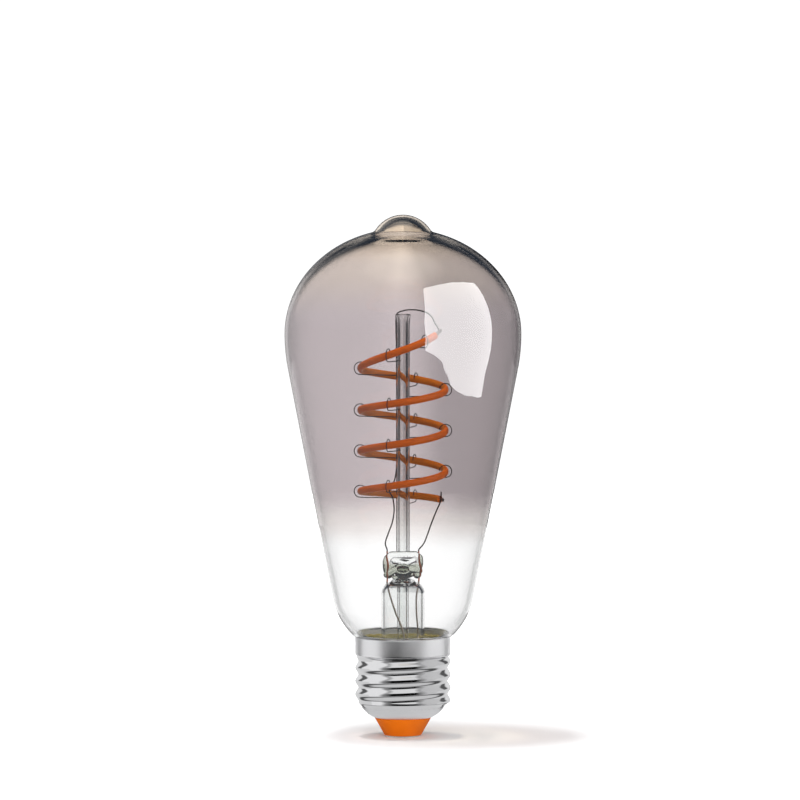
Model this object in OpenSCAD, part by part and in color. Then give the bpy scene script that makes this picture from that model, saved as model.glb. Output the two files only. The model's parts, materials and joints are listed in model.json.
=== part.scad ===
// Smart filament bulb: a drop-shaped gradient glass with a spiral LED filament on an E27 screw cap.
// Millimetres. The origin is the centre of the base contact's lower face, and +Z runs up to the tip.

/* [Glass] */
// Overall height, contact to tip
bulb_h = 142.5; // [138:0.5:148]
// Largest outer radius of the glass
glass_r = 32.25; // [30:0.25:33]
// Height at which the glass is widest
widest_z = 110; // [106:0.5:112]
// Thickness of the glass wall
wall = 0.8; // [0.6:0.1:1.2]
// Slope of the long flank, degrees from vertical
flank_tilt = 11; // [10.5:0.1:12]
// Radius of the bowl above the cap
bowl_r = 18.7; // [18:0.1:19.5]
// Outer radius of the neck inside the cap
neck_r = 11.5; // [11:0.1:11.6]
// Radius of the foot of the tip
tip_foot_r = 7.9; // [6:0.1:9]
// Height of the tip above its foot
tip_h = 4.8; // [4:0.1:5.5]

/* [Cap] */
// Height of the cap's rim above the contact
cap_h = 27.5; // [26:0.1:28]
// Thread pitch of a standard E27 screw
pitch = 3.629; // [3.6:0.001:3.65]
// Crest radius of the thread
crest_r = 13.1; // [13:0.01:13.2]
// Root radius of the thread
root_r = 12.25; // [12.15:0.01:12.3]
// Thickness of the sheet metal
sheet = 0.3; // [0.2:0.05:0.35]
// Top radius of the insulator's visible cone
cone_top_r = 7.75; // [7:0.05:8]
// Radius of the base contact
contact_r = 4.5; // [4:0.1:5]

/* [Filament] */
// Radius of the spiral's centre line
coil_r = 11.6; // [11:0.1:12]
// Rise of the spiral in one turn
coil_pitch = 11.2; // [10.5:0.1:11.5]
// Height of the spiral's centre line at the end of its second turn
coil_mid_z = 83.9; // [82:0.1:86]
// Height of the filament's section
strand_h = 2.05; // [1.8:0.05:2.2]
// Width of the filament's section
strand_w = 1.75; // [1.5:0.05:1.9]
// Radius of the wire that the support hooks are bent from
hook_wire_r = 0.14; // [0.1:0.02:0.2]

/* [Stem] */
// Outer radius of the stem's tube
stem_r = 5.95; // [5.5:0.05:6.2]
// Outer radius of the support tube
support_r = 1.85; // [1.6:0.05:2]
// Outer radius of the exhaust tube
exhaust_r = 1.6; // [1.4:0.05:1.7]
// Height of the support tube's mouth
support_top = 115.7; // [112:0.1:117]

/* [Driver] */
// Radius of the driver's round board
board_r = 10.3; // [9.8:0.1:10.5]
// Height of the board's lower face
board_z = 11; // [10.8:0.1:11.4]

/* [Hidden] */
$fn = 96;

neck_z = 18;
neck_bend_z = cap_h - 1.3;
neck_bend_r = 1.6;
bowl_start = 47;
bowl_steps = 12;
shoulder_steps = 22;
shoulder_end = 75.5;
tip_r = (tip_foot_r * tip_foot_r + tip_h * tip_h) / (2 * tip_h);
tip_foot_z = bulb_h - tip_h;

coil_from = 41;
coil_to = 1411;
coil_step = 11;
top_lift = 5;
end_lift = 2.1;
cavity = [0.5, 1.2];

flare_r = 4.75;
flare_rise = 5.2;
stem_wall = 1.1;
stem_top_z = 39.4;
support_bore_r = 1;
press_z = 43.4;
press_top = 50.8;
press_w = 11.3;
press_t = 3.6;
roof_z = 42.3;
seal_x = 4.3;
seal_r = 0.22;
eye_z = 45.5;
exhaust_bore_r = 0.95;
exhaust_end = 16.6;

board_t = 1;
board_top = board_z + board_t;
sleeve_r = 11.6;
skirt_r = 13.08;
skirt_z = 22.4;
thread_z = 9.3;
bowl_foot_z = 5.3;
foot_curve_r = 8.13;
foot_centre = [4.61, 12.8];
top_crest_z = 20.7;
cement_r = 12.7;
foot_gap = 0.4;
contact_pin_r = 1.1;

// ---- Shared shapes ----

// Two triangles that fill a four-sided patch.
function halves(a, b, c, d) = [[a, b, c], [a, c, d]];

// A closed skin over rings that all have the same number of points, with a flat cap at each end.
module skin(rings) {
    n = len(rings[0]);
    m = len(rings);
    sides = [for (i = [0:m - 2], j = [0:n - 1]) each
        halves(i * n + j, (i + 1) * n + j, (i + 1) * n + (j + 1) % n, i * n + (j + 1) % n)];
    first = [for (j = [0:n - 1]) j];
    last = [for (j = [n - 1:-1:0]) (m - 1) * n + j];
    polyhedron([for (ring = rings) each ring], concat(sides, [first, last]), convexity = 12);
}

// A closed ring-shaped skin: each loop is one section, and the last one joins the first.
module ring_skin(loops) {
    n = len(loops[0]);
    m = len(loops);
    faces = [for (i = [0:m - 1], j = [0:n - 1]) each
        halves(i * n + j, ((i + 1) % m) * n + j, ((i + 1) % m) * n + (j + 1) % n, i * n + (j + 1) % n)];
    polyhedron([for (loop = loops) each loop], faces, convexity = 12);
}

function unit(v) = v / norm(v);

// Direction of a path at its point number i.
function heading(path, i) = unit(path[min(i + 1, len(path) - 1)] - path[max(i - 1, 0)]);

// One round ring about the path's point number i. side is never along the path.
function wire_ring(path, i, r, side, n) =
    let (
        t = heading(path, i),
        u = unit(cross(t, side)),
        v = cross(t, u)
    ) [for (j = [0:n - 1]) path[i] + r * (cos(360 * j / n) * u + sin(360 * j / n) * v)];

module wire(path, r, side = [0, 1, 0], n = 6) {
    skin([for (i = [0:len(path) - 1]) wire_ring(path, i, r, side, n)]);
}

// A point on the smooth curve through four points, between the second and the third.
function blend_point(a, b, c, d, t) =
    0.5 * (2 * b + (c - a) * t + (2 * a - 5 * b + 4 * c - d) * t * t + (3 * b - a - 3 * c + d) * t * t * t);

// A smooth curve through a list of points, with a few steps from each to the next.
function smooth_path(p, steps = 3) = [
    for (i = [0:len(p) - 2], s = [0:steps - 1])
        blend_point(p[max(i - 1, 0)], p[i], p[i + 1], p[min(i + 2, len(p) - 1)], s / steps),
    p[len(p) - 1]
];

// An arc of a circle, as points from one angle to another.
function arc(centre, r, from, to, steps) = [
    for (i = [0:steps]) let (a = from + (to - from) * i / steps) centre + r * [cos(a), sin(a)]
];

// ---- Glass outline ----

bowl_centre = [0.74, cap_h + 13.66];
flank_foot = bowl_centre + bowl_r * [cos(flank_tilt), -sin(flank_tilt)];
flank_turn_r = (glass_r - flank_foot[0] - (widest_z - flank_foot[1]) * tan(flank_tilt))
    / (1 - cos(flank_tilt) - sin(flank_tilt) * tan(flank_tilt));
flank_turn = [glass_r - flank_turn_r, widest_z];
shoulder_b = tip_foot_z - widest_z + 1;

function shoulder(inset) = [
    for (i = [1:shoulder_steps])
        let (a = shoulder_end * i / shoulder_steps)
        [(glass_r - inset) * cos(a), widest_z + (shoulder_b - inset) * sin(a)]
];

function tip_arc(inset) =
    let (r = tip_r - inset, centre = bulb_h - tip_r, foot = asin(tip_foot_r / tip_r) - 2)
    [for (i = [0:8]) let (a = foot * (1 - i / 8)) [r * sin(a), centre + r * cos(a)]];

// Outline of the glass from the neck to the tip, moved inwards by inset.
function glass_line(inset) = concat(
    [[neck_r - inset, neck_z], [neck_r - inset, neck_bend_z]],
    arc([neck_r + neck_bend_r, neck_bend_z], neck_bend_r + inset, 150, 133, 2),
    arc(bowl_centre, bowl_r - inset, -bowl_start, -flank_tilt, bowl_steps),
    arc(flank_turn, flank_turn_r - inset, -flank_tilt, 0, 6),
    shoulder(inset),
    tip_arc(inset)
);

function reversed(list) = [for (i = [len(list) - 1:-1:0]) list[i]];

module glass_envelope() {
    color([0.55, 0.5, 0.5, 0.35])
    rotate_extrude()
    polygon(concat(glass_line(0), reversed(glass_line(wall))));
}

// ---- Stem ----

// Tube that flares out to the neck below and closes in a roof under the press.
module stem_flare() {
    color([0.85, 0.9, 0.92, 0.5])
    difference() {
        rotate_extrude()
        polygon(concat(
            [[neck_r - wall, neck_z]],
            arc([stem_r + flare_r, neck_z + flare_rise], flare_r, 266, 180, 6),
            [[stem_r, stem_top_z], [5.3, roof_z]],
            [[4.9, press_z], [0, press_z], [0, roof_z], [4.6, roof_z], [stem_r - stem_wall, stem_top_z]],
            reversed(arc([stem_r + flare_r, neck_z + flare_rise], flare_r + 1, 264, 180, 6)),
            [[neck_r - wall - 0.9, neck_z - 0.5], [neck_r - wall, neck_z - 0.5]]
        ));
        translate([0, 0, roof_z - 1])
        cylinder(h = press_z - roof_z + 2, r = exhaust_bore_r);
        for (side = [-1, 1])
            translate([side * seal_x, 0, roof_z - 1])
            cylinder(h = press_z - roof_z + 2, r = seal_r, $fn = 24);
    }
}

// The press's outline, a slab with large upper corners.
function press_outline() = concat(
    arc([press_w / 2 - 2, press_top - 2], 2, 0, 90, 6),
    arc([-press_w / 2 + 2.6, press_top - 2.6], 2.6, 90, 180, 6),
    [[-4.9, press_z], [4.9, press_z]]
);

// Flattened glass that seals the wires, with the blown eye that opens the exhaust.
module stem_press() {
    color([0.8, 0.86, 0.88, 0.5])
    difference() {
        union() {
            rotate([90, 0, 0])
            linear_extrude(height = press_t, center = true)
            polygon(press_outline());
            translate([0, 0, eye_z + 0.5])
            sphere(r = 2.5);
        }
        translate([0, 0, press_z - 1])
        cylinder(h = eye_z - press_z + 1, r = exhaust_bore_r);
        translate([0, 4, eye_z])
        rotate([90, 0, 0])
        cylinder(h = 8, r = 1.3);
        for (side = [-1, 1])
            translate([side * seal_x, 0, press_z - 1])
            cylinder(h = press_top - press_z + 2, r = seal_r, $fn = 24);
    }
}

// Pumping tube inside the stem, melted shut at its lower end.
module exhaust_tube() {
    color([0.8, 0.85, 0.88, 0.5])
    difference() {
        union() {
            translate([0, 0, exhaust_end + exhaust_r])
            cylinder(h = roof_z - exhaust_end - exhaust_r, r = exhaust_r);
            translate([0, 0, exhaust_end + exhaust_r])
            sphere(r = exhaust_r, $fn = 48);
        }
        translate([0, 0, exhaust_end + 2.2])
        cylinder(h = roof_z - exhaust_end, r = exhaust_bore_r);
    }
}

// Hollow glass mast that carries the hooks, with a slightly flared mouth.
module support_tube() {
    color([0.7, 0.72, 0.75, 0.6])
    rotate_extrude()
    polygon([
        [support_bore_r, press_top], [support_r, press_top], [support_r, support_top - 2],
        [support_r + 0.25, support_top - 0.4], [support_r + 0.1, support_top],
        [1.3, support_top], [support_bore_r, support_top - 2]
    ]);
}

// ---- Filament ----

function lift(a) =
    top_lift * pow(max(0, 200 - a) / 159, 1.6) + end_lift * pow(max(0, a - 1240) / 171, 1.5);
function coil_z(a) = coil_mid_z + coil_pitch * (720 - a) / 360 + lift(a);
function coil_point(a) = [coil_r * cos(a), -coil_r * sin(a), coil_z(a)];
function coil_heading(a) = unit(coil_point(a + 2) - coil_point(a - 2));
function coil_out(a) = [cos(a), -sin(a), 0];

// A point of the filament's section: out from the mast, and up across the strand.
function coil_place(a, out, up) =
    coil_point(a) + out * coil_out(a) + up * cross(coil_heading(a), coil_out(a));

function oval(w, h, n) = [for (j = [0:n - 1]) [w / 2 * cos(360 * j / n), h / 2 * sin(360 * j / n)]];
function box_section(w, h, shift = 0) = [
    [w / 2 + shift, h / 2], [-w / 2 + shift, h / 2], [-w / 2 + shift, -h / 2], [w / 2 + shift, -h / 2]
];
function strand_angles() = [for (a = [coil_from:coil_step:coil_to - 1]) a, coil_to];
function strand(section) = [for (a = strand_angles()) [for (s = section) coil_place(a, s[0], s[1])]];

// Phosphor silicone round the strip, hollow where the strip and its chips lie.
module filament_sleeve() {
    outer = strand(oval(strand_w, strand_h, 8));
    inner = strand([for (j = [0:7]) box_ring(cavity[0] / 2, cavity[1] / 2, j)]);
    m = len(outer);
    n = 8;
    k = m * n;
    walls = [for (i = [0:m - 2], j = [0:n - 1]) let (a = i * n + j, b = i * n + (j + 1) % n) each
        concat(halves(a, a + n, b + n, b), halves(k + a, k + b, k + b + n, k + a + n))];
    ends = [for (j = [0:n - 1]) let (b = (j + 1) % n, e = k - n) each
        concat(halves(j, b, k + b, k + j), halves(e + j, k + e + j, k + e + b, e + b))];
    color([0.8, 0.37, 0.12])
    polyhedron([for (ring = concat(outer, inner)) each ring], concat(walls, ends), convexity = 12);
}

// Point number j of eight round a small rectangle with cut corners.
function box_ring(w, h, j) =
    [w * max(-1, min(1, 1.5 * cos(45 * j))), h * max(-1, min(1, 1.5 * sin(45 * j)))];

// Flexible circuit that carries the chips.
module filament_strip() {
    color([0.75, 0.6, 0.35])
    skin(strand(box_section(0.14, 1, -0.12)));
}

// Light-emitting chips, evenly spaced on the outer face of the strip.
module led_chips() {
    color([0.9, 0.85, 0.4])
    for (a = [coil_from + 12:24:coil_to - 12])
        translate(coil_place(a, 0.05, 0))
        rotate([0, 0, -a])
        cube([0.2, 0.9, 0.4], center = true);
}

// Metal strip crimped on an end of the filament.
module filament_tab(a, turn, length) {
    color([0.75, 0.72, 0.68])
    translate(coil_place(a, 0, 0))
    rotate([0, 0, -a - 90])
    rotate([0, turn, 0])
    translate([0, -0.1, -0.55])
    cube([length, 0.2, 1.1]);
}

module filament_tab_top() {
    filament_tab(coil_from, 180 + 30, 3.4);
}

module filament_tab_bottom() {
    filament_tab(coil_to, -4, 2.4);
}

// ---- Hooks and wires ----

// Angles round the spiral at which a hook holds the filament.
function hook_angles() = [
    60, for (turn = [0:3]) each [110 + 360 * turn, 180 + 360 * turn, 287 + 360 * turn],
    360, 720, 1080
];

// A hook leaves the mast under the strand, passes below it and curls round its outer side.
function hook_path(a) =
    let (
        z = coil_z(a),
        out = [cos(a), -sin(a), 0],
        low = z - 1.7,
        points = [
            support_r * out + [0, 0, low - 0.2],
            6 * out + [0, 0, low - 0.1],
            (coil_r - 0.6) * out + [0, 0, low]
        ]
    ) concat(
        points,
        [for (b = [-60:30:150]) (coil_r + 1.65 * cos(b)) * out + [0, 0, z + 1.7 * sin(b)]],
        [(coil_r - 1.7) * out + [0, 0, z + 0.2]]
    );

module support_hooks() {
    color([0.35, 0.34, 0.36])
    for (a = hook_angles())
        wire(hook_path(a), hook_wire_r, [sin(a), cos(a), 0], 4);
}

// Routes of the wires. Each starts at its lower end.
top_route = [
    [-4.3, 0, 50.8], [-4.35, 0, 51.3], [-4.8, 0.3, 53], [-3.9, 0.6, 55.8], [-2.9, 0.9, 58.6], [-2.4, 1.2, 62],
    [-2.8, 1.4, 65.3], [-3.7, 1.5, 67], [-2.9, 1.6, 68.5], [-1.8, 1.7, 73], [-1.7, 1.7, 84],
    [-1.7, 1.7, 96], [-1.8, 1.7, 107], [-1.9, 1.7, 113.5], [-1.6, 1.4, 115.8], [0.3, 0.2, 116.7],
    [2.1, -1.6, 117], [4.4, -3.8, 116.9], [6.6, -5.6, 116.2], [7.9, -6.2, 115], [8.6, -6.1, 113.4],
    [9.5, -6, 111.9], [9.6, -6.05, 110.9]
];
bottom_route = [
    [4.3, 0, 50.8], [4.4, 0, 51.3], [5.9, 0.6, 53.2], [7.7, 1.8, 58], [9.1, 3.2, 61.4],
    [10.2, 4.3, 63.8], [10.4, 4.4, 65.2], [10.45, 4.4, 66.7]
];
left_route = [
    [-4.3, 0, 42.3], [-4.25, -0.05, 41.8], [-3.4, -1.2, 38.5], [-1.6, -2.2, 33], [0, -2.6, 28.5], [1, -2.7, 22],
    [2, -2.8, 16], [2.2, -2.8, 12]
];
right_route = [
    [4.3, 0, 42.3], [4.25, 0, 41.8], [3.7, 0.5, 38], [3.8, 0.8, 33], [4.2, 1, 28], [4, 1.2, 22], [3, 1.6, 16],
    [2.8, 1.6, 12]
];
contact_route = [[0, 0, 8.4], [0, 0, 8.8], [-0.8, 0, 9.5], [-2.2, 0, 9.6], [-3.2, 0, 9.6]];
shell_route = [[-9.7, 2, 12], [-9.9, 2, 13], [-10.4, 2.1, 16], [-10.9, 2.2, 17.1], [-11.7, 2.3, 17.15]];

module lead_wire_top() {
    color([0.42, 0.35, 0.33])
    wire(smooth_path(top_route), 0.2);
}

module lead_wire_bottom() {
    color([0.42, 0.35, 0.33])
    wire(smooth_path(bottom_route), 0.2);
}

// Copper-clad wires sealed in the glass of the press.
module seal_wires() {
    color([0.75, 0.3, 0.2])
    for (side = [-1, 1])
        translate([side * seal_x, 0, roof_z])
        cylinder(h = press_top - roof_z, r = seal_r, $fn = 24);
}

module outer_lead_left() {
    color([0.5, 0.46, 0.4])
    wire(smooth_path(left_route), 0.25);
}

module outer_lead_right() {
    color([0.5, 0.46, 0.4])
    wire(smooth_path(right_route), 0.25);
}

// Insulated wire from the contact's pin to the fuse.
module contact_wire() {
    color([0.8, 0.1, 0.1])
    wire(smooth_path(contact_route), 0.35, [0, 1, 0], 8);
}

// Bare wire from the board up to the inside of the shell.
module shell_wire() {
    color([0.8, 0.8, 0.8])
    wire(smooth_path(shell_route), 0.2);
}

// ---- Cap ----

// Cement that bonds the neck into the cap's skirt.
module cap_cement() {
    color([0.5, 0.45, 0.2])
    translate([0, 0, skirt_z + 0.8])
    difference() {
        cylinder(h = neck_bend_z - skirt_z - 0.8, r = cement_r);
        translate([0, 0, -1])
        cylinder(h = cap_h, r = neck_r);
    }
}

// How much of the thread's full depth stands at a height.
function thread_share(z) =
    max(0, min(1, (z - thread_z + 0.8) / 1.2)) * max(0, min(1, (skirt_z - z) / 1));

// Height of the thread's ridge at a place, from 0 in the root to 1 on the crest.
function ridge(z, a) = pow(0.5 + 0.5 * cos(360 * (z - top_crest_z) / pitch - a), 0.8);

// Radius of the shell without its thread, from the lower opening to the rim.
function foot_curve(z) = foot_centre[0] + sqrt(foot_curve_r * foot_curve_r - pow(foot_centre[1] - z, 2));
function shell_base(z) =
    z < skirt_z ? min(root_r, foot_curve(min(z, foot_centre[1])))
    : skirt_r - 0.25 * pow(max(0, z - cap_h + 0.6) / 0.6, 2);

function shell_r(z, a) = shell_base(z) + (crest_r - root_r) * ridge(z, a) * thread_share(z);
function shell_heights() = concat(
    [for (i = [0:5]) bowl_foot_z + (thread_z - 0.8 - bowl_foot_z) * i / 5],
    [for (i = [1:34]) thread_z - 0.8 + (skirt_z - thread_z + 0.8) * i / 34],
    [skirt_z + 0.5, cap_h - 0.6, cap_h - 0.3, cap_h]
);

// Threaded sheet-metal shell with a plain skirt above and a rounded foot below.
module screw_shell() {
    heights = shell_heights();
    loops = [for (a = [0:10:350])
        concat(
            [for (z = heights) let (r = shell_r(z, a)) [r * cos(a), r * sin(a), z]],
            [for (z = reversed(heights)) let (r = shell_r(z, a) - sheet) [r * cos(a), r * sin(a), z]]
        )
    ];
    color([0.75, 0.75, 0.77])
    ring_skin(loops);
}

// Orange insulator: a cone below the shell and a hub that fits its lower opening.
module cap_insulator() {
    color([0.9, 0.43, 0.06])
    difference() {
        rotate_extrude()
        polygon([
            [0, foot_gap], [5, foot_gap], [cone_top_r, bowl_foot_z - 0.02],
            [cone_top_r - sheet - 0.1, bowl_foot_z], [cone_top_r - sheet - 0.1, 6.2],
            [6, 7.4], [0, 7.4]
        ]);
        translate([0, 0, -1])
        cylinder(h = 10, r = contact_pin_r);
    }
}

// Flat base contact with the pin that holds it in the insulator.
module centre_contact() {
    color([0.72, 0.7, 0.66])
    rotate_extrude()
    polygon([
        [0, 0], [contact_r - 0.25, 0], [contact_r, foot_gap], [contact_pin_r, foot_gap],
        [contact_pin_r, 8], [contact_pin_r - 0.4, 8.4], [0, 8.4]
    ]);
}

// ---- Driver in the cap ----

// Thin plastic liner that keeps the driver off the shell.
module driver_sleeve() {
    color([0.95, 0.95, 0.92])
    translate([0, 0, 9.8])
    difference() {
        cylinder(h = 7, r = sleeve_r);
        translate([0, 0, -1])
        cylinder(h = 10, r = sleeve_r - 0.5);
    }
}

module driver_board() {
    color([0.1, 0.4, 0.2])
    translate([0, 0, board_z])
    cylinder(h = board_t, r = board_r);
}

module bridge_rectifier() {
    color([0.1, 0.1, 0.1])
    translate([5, -3.4, board_top])
    cube([3.8, 4.7, 2.4]);
}

// Electrolytic capacitor, lying on the board.
module bulk_capacitor() {
    color([0.15, 0.15, 0.2])
    translate([-4, 6.2, board_top + 2.5])
    rotate([0, 90, 0])
    difference() {
        cylinder(h = 8, r = 2.5);
        translate([0, 0, 6.9])
        difference() {
            cylinder(h = 0.4, r = 3);
            translate([0, 0, -1])
            cylinder(h = 3, r = 2.3);
        }
    }
}

// Drum-core inductor, standing.
module power_inductor() {
    color([0.2, 0.2, 0.2])
    translate([-6.2, -1.2, board_top])
    rotate_extrude()
    polygon([[0, 0], [2.6, 0], [2.6, 0.7], [2.2, 0.9], [2.2, 3.5], [2.6, 3.7], [2.6, 4.4], [0, 4.4]]);
}

module driver_chip() {
    color([0.12, 0.12, 0.12])
    translate([1.6, 2.2, board_z - 1.5])
    cube([4.9, 3.9, 1.5]);
}

// Fusible resistor under the board.
module fuse_resistor() {
    color([0.3, 0.5, 0.45])
    translate([-4.3, 3.2, 9.6])
    rotate([90, 0, 0])
    cylinder(h = 6.4, r = 1.1);
}

// Small upright board that holds the radio.
module radio_module() {
    color([0.05, 0.2, 0.35])
    translate([-4.5, -6.9, board_top])
    cube([9, 0.8, 5.2]);
}

module radio_shield() {
    color([0.8, 0.8, 0.82])
    translate([-2.8, -8, board_top + 0.2])
    cube([5, 1.1, 3.6]);
}

// Printed meander antenna along the module's top edge.
module radio_antenna() {
    color([0.8, 0.65, 0.2])
    for (i = [0:4]) {
        translate([-3.9 + i * 1.6, -6.95, board_top + 4])
        cube([0.3, 0.05, 1]);
        translate([-3.9 + i * 1.6, -6.95, board_top + (i % 2 == 0 ? 4.7 : 4)])
        cube([1.4, 0.05, 0.3]);
    }
}

module chip_resistors() {
    color([0.15, 0.15, 0.15])
    for (i = [0:5])
        translate([-0.4 + i * 1.6, -3.4 - 0.5 * (i % 2), board_z - 0.5])
        cube([1, 1.9, 0.5]);
}

module chip_capacitors() {
    color([0.65, 0.5, 0.35])
    for (i = [0:3])
        translate([-1.4 + i * 1.9, -7, board_z - 0.8])
        cube([1.2, 2, 0.8]);
}

glass_envelope();
stem_flare();
stem_press();
exhaust_tube();
support_tube();
filament_sleeve();
filament_strip();
led_chips();
filament_tab_top();
filament_tab_bottom();
support_hooks();
lead_wire_top();
lead_wire_bottom();
seal_wires();
outer_lead_left();
outer_lead_right();
cap_cement();
screw_shell();
cap_insulator();
centre_contact();
contact_wire();
shell_wire();
fuse_resistor();
driver_sleeve();
driver_board();
bridge_rectifier();
bulk_capacitor();
power_inductor();
driver_chip();
radio_module();
radio_shield();
radio_antenna();
chip_resistors();
chip_capacitors();
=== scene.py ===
import json
import math

import bmesh
import bpy
from mathutils import Matrix, Vector


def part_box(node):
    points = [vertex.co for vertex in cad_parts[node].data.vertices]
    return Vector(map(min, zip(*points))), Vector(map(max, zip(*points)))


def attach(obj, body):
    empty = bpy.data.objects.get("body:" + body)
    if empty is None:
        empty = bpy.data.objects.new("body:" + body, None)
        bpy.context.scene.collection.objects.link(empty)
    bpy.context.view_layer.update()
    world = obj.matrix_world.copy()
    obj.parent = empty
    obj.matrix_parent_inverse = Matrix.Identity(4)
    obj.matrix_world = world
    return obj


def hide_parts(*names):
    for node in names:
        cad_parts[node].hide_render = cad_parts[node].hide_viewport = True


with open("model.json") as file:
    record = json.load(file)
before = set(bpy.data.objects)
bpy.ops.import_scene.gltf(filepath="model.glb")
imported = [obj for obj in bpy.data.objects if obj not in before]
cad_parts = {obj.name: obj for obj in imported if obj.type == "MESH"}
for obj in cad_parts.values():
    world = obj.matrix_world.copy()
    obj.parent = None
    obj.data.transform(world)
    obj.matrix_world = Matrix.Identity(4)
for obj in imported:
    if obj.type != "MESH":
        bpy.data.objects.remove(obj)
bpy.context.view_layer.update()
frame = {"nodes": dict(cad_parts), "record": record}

mm = 0.001
axisLimit = 1e-6
wireSides = 12
rootBody = "root"
print("frame loaded")


# helpers for meshes and routes; lengths are in millimetres until a mesh is made

def keep(obj, node):
    # a finished piece stands for its CAD node and rides with the bulb
    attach(obj, rootBody)
    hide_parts(node)
    return obj


def placeObject(name, data):
    obj = bpy.data.objects.new(name, data)
    bpy.context.scene.collection.objects.link(obj)
    return obj


def newObject(name, mesh, material):
    obj = placeObject(name, mesh)
    if not mesh.materials:
        mesh.materials.append(material)
    return obj


def spanOf(box):
    # bottom, top and outer radius of a CAD node's box, in millimetres
    low, high = box
    return low.z / mm, high.z / mm, high.x / mm


def smoothMesh(mesh, sharpAngle):
    for face in mesh.polygons:
        face.use_smooth = True
    mesh.set_sharp_from_angle(angle=math.radians(sharpAngle))


def meshFrom(name, bm):
    mesh = bpy.data.meshes.new(name)
    bm.to_mesh(mesh)
    bm.free()
    return mesh


def smoothedMesh(name, bm, sharpAngle):
    bmesh.ops.recalc_face_normals(bm, faces=bm.faces)
    mesh = meshFrom(name, bm)
    smoothMesh(mesh, sharpAngle)
    return mesh


def straightLine(start, end, steps):
    points = []
    for i in range(steps + 1):
        points.append(tuple(a + (b - a) * i / steps for a, b in zip(start, end)))
    return points


def easedShare(share):
    # 0 to 1 with soft ends
    return share * share * (3 - 2 * share)


def limited(value):
    return max(0, min(1, value))


def arcPoints(centre, radius, fromAngle, toAngle, steps):
    points = []
    for i in range(steps + 1):
        a = math.radians(fromAngle + (toAngle - fromAngle) * i / steps)
        points.append((centre[0] + radius * math.cos(a), centre[1] + radius * math.sin(a)))
    return points


def roundedCorner(before, corner, after, reach, steps=6):
    # a soft curve that starts and ends at the given distance from the corner
    c = Vector(corner)
    start = c + (Vector(before) - c).normalized() * reach
    end = c + (Vector(after) - c).normalized() * reach
    points = []
    for i in range(steps + 1):
        t = i / steps
        p = start * (1 - t) ** 2 + c * 2 * t * (1 - t) + end * t ** 2
        points.append((p.x, p.y))
    return points


def ringVertex(bm, radius, angle, height):
    return bm.verts.new((radius * mm * math.cos(angle), radius * mm * math.sin(angle), height * mm))


def turnedMesh(name, outline, segments, sharpAngle):
    # spins a closed outline of (radius, height) round the bulb's axis
    bm = bmesh.new()
    rings = []
    for r, z in outline:
        if r < axisLimit:
            rings.append([bm.verts.new((0, 0, z * mm))])
        else:
            rings.append([ringVertex(bm, r, 2 * math.pi * k / segments, z) for k in range(segments)])
    for i, low in enumerate(rings):
        high = rings[(i + 1) % len(rings)]
        if len(low) == 1 and len(high) == 1:
            continue
        for k in range(segments):
            n = (k + 1) % segments
            if len(low) == 1:
                bm.faces.new((low[0], high[n], high[k]))
            elif len(high) == 1:
                bm.faces.new((low[k], low[n], high[0]))
            else:
                bm.faces.new((low[k], low[n], high[n], high[k]))
    return smoothedMesh(name, bm, sharpAngle)


def joinColumns(bm, columns):
    # closes a ring of closed sections with four-sided faces
    for k, column in enumerate(columns):
        following = columns[(k + 1) % len(columns)]
        for i, vertex in enumerate(column):
            n = (i + 1) % len(column)
            bm.faces.new((vertex, following[i], following[n], column[n]))


def smoothRoute(route, steps=6):
    # Catmull-Rom curve through a wire's route
    pts = [Vector(p) for p in route]
    result = []
    for i in range(len(pts) - 1):
        a, b = pts[max(i - 1, 0)], pts[i]
        c, d = pts[i + 1], pts[min(i + 2, len(pts) - 1)]
        for s in range(steps):
            t = s / steps
            result.append(0.5 * (
                2 * b + (c - a) * t
                + (2 * a - 5 * b + 4 * c - d) * t * t
                + (3 * b - a - 3 * c + d) * t * t * t
            ))
    result.append(pts[-1])
    return result


# helpers for node trees

def grey(value):
    return (value, value, value)


def newMaterial(name):
    material = bpy.data.materials.new(name)
    material.use_nodes = True
    tree = material.node_tree
    shader = tree.nodes["Principled BSDF"]
    return material, tree, shader


def feed(tree, socket, value):
    # a number, word, vector or colour is set; another node's output is linked
    if isinstance(value, (int, float, str)):
        socket.default_value = value
    elif isinstance(value, tuple):
        socket.default_value = (*value, 1) if socket.type == "RGBA" else value
    elif value is not None:
        tree.links.new(value, socket)


def feedAll(tree, node, values):
    for label, value in values.items():
        feed(tree, node.inputs[label], value)


def addNode(tree, kind, inputs=None, **settings):
    node = tree.nodes.new(kind)
    for key, value in settings.items():
        setattr(node, key, value)
    feedAll(tree, node, inputs or {})
    return node


def ramp(tree, source, stops, interpolation="LINEAR"):
    node = addNode(tree, "ShaderNodeValToRGB", {"Fac": source})
    node.color_ramp.interpolation = interpolation
    elements = node.color_ramp.elements
    while len(elements) < len(stops):
        elements.new(0.5)
    for element, (place, colour) in zip(elements, stops):
        element.position = place
        element.color = (*(colour if isinstance(colour, tuple) else grey(colour)), 1)
    return node.outputs["Color"]


def mapRange(tree, source, fromMin, fromMax, toMin=0.0, toMax=1.0, smooth=False):
    kind = "SMOOTHSTEP" if smooth else "LINEAR"
    values = {"Value": source, "From Min": fromMin, "From Max": fromMax, "To Min": toMin, "To Max": toMax}
    return addNode(tree, "ShaderNodeMapRange", values, clamp=True, interpolation_type=kind).outputs["Result"]


def mathNode(tree, operation, first, second=None):
    return addNode(tree, "ShaderNodeMath", {0: first, 1: second}, operation=operation).outputs["Value"]


def vectorNode(tree, operation, first, second=None):
    node = addNode(tree, "ShaderNodeVectorMath", {0: first, 1: second}, operation=operation)
    return node.outputs["Value" if operation in ("DOT_PRODUCT", "LENGTH") else "Vector"]


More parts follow.
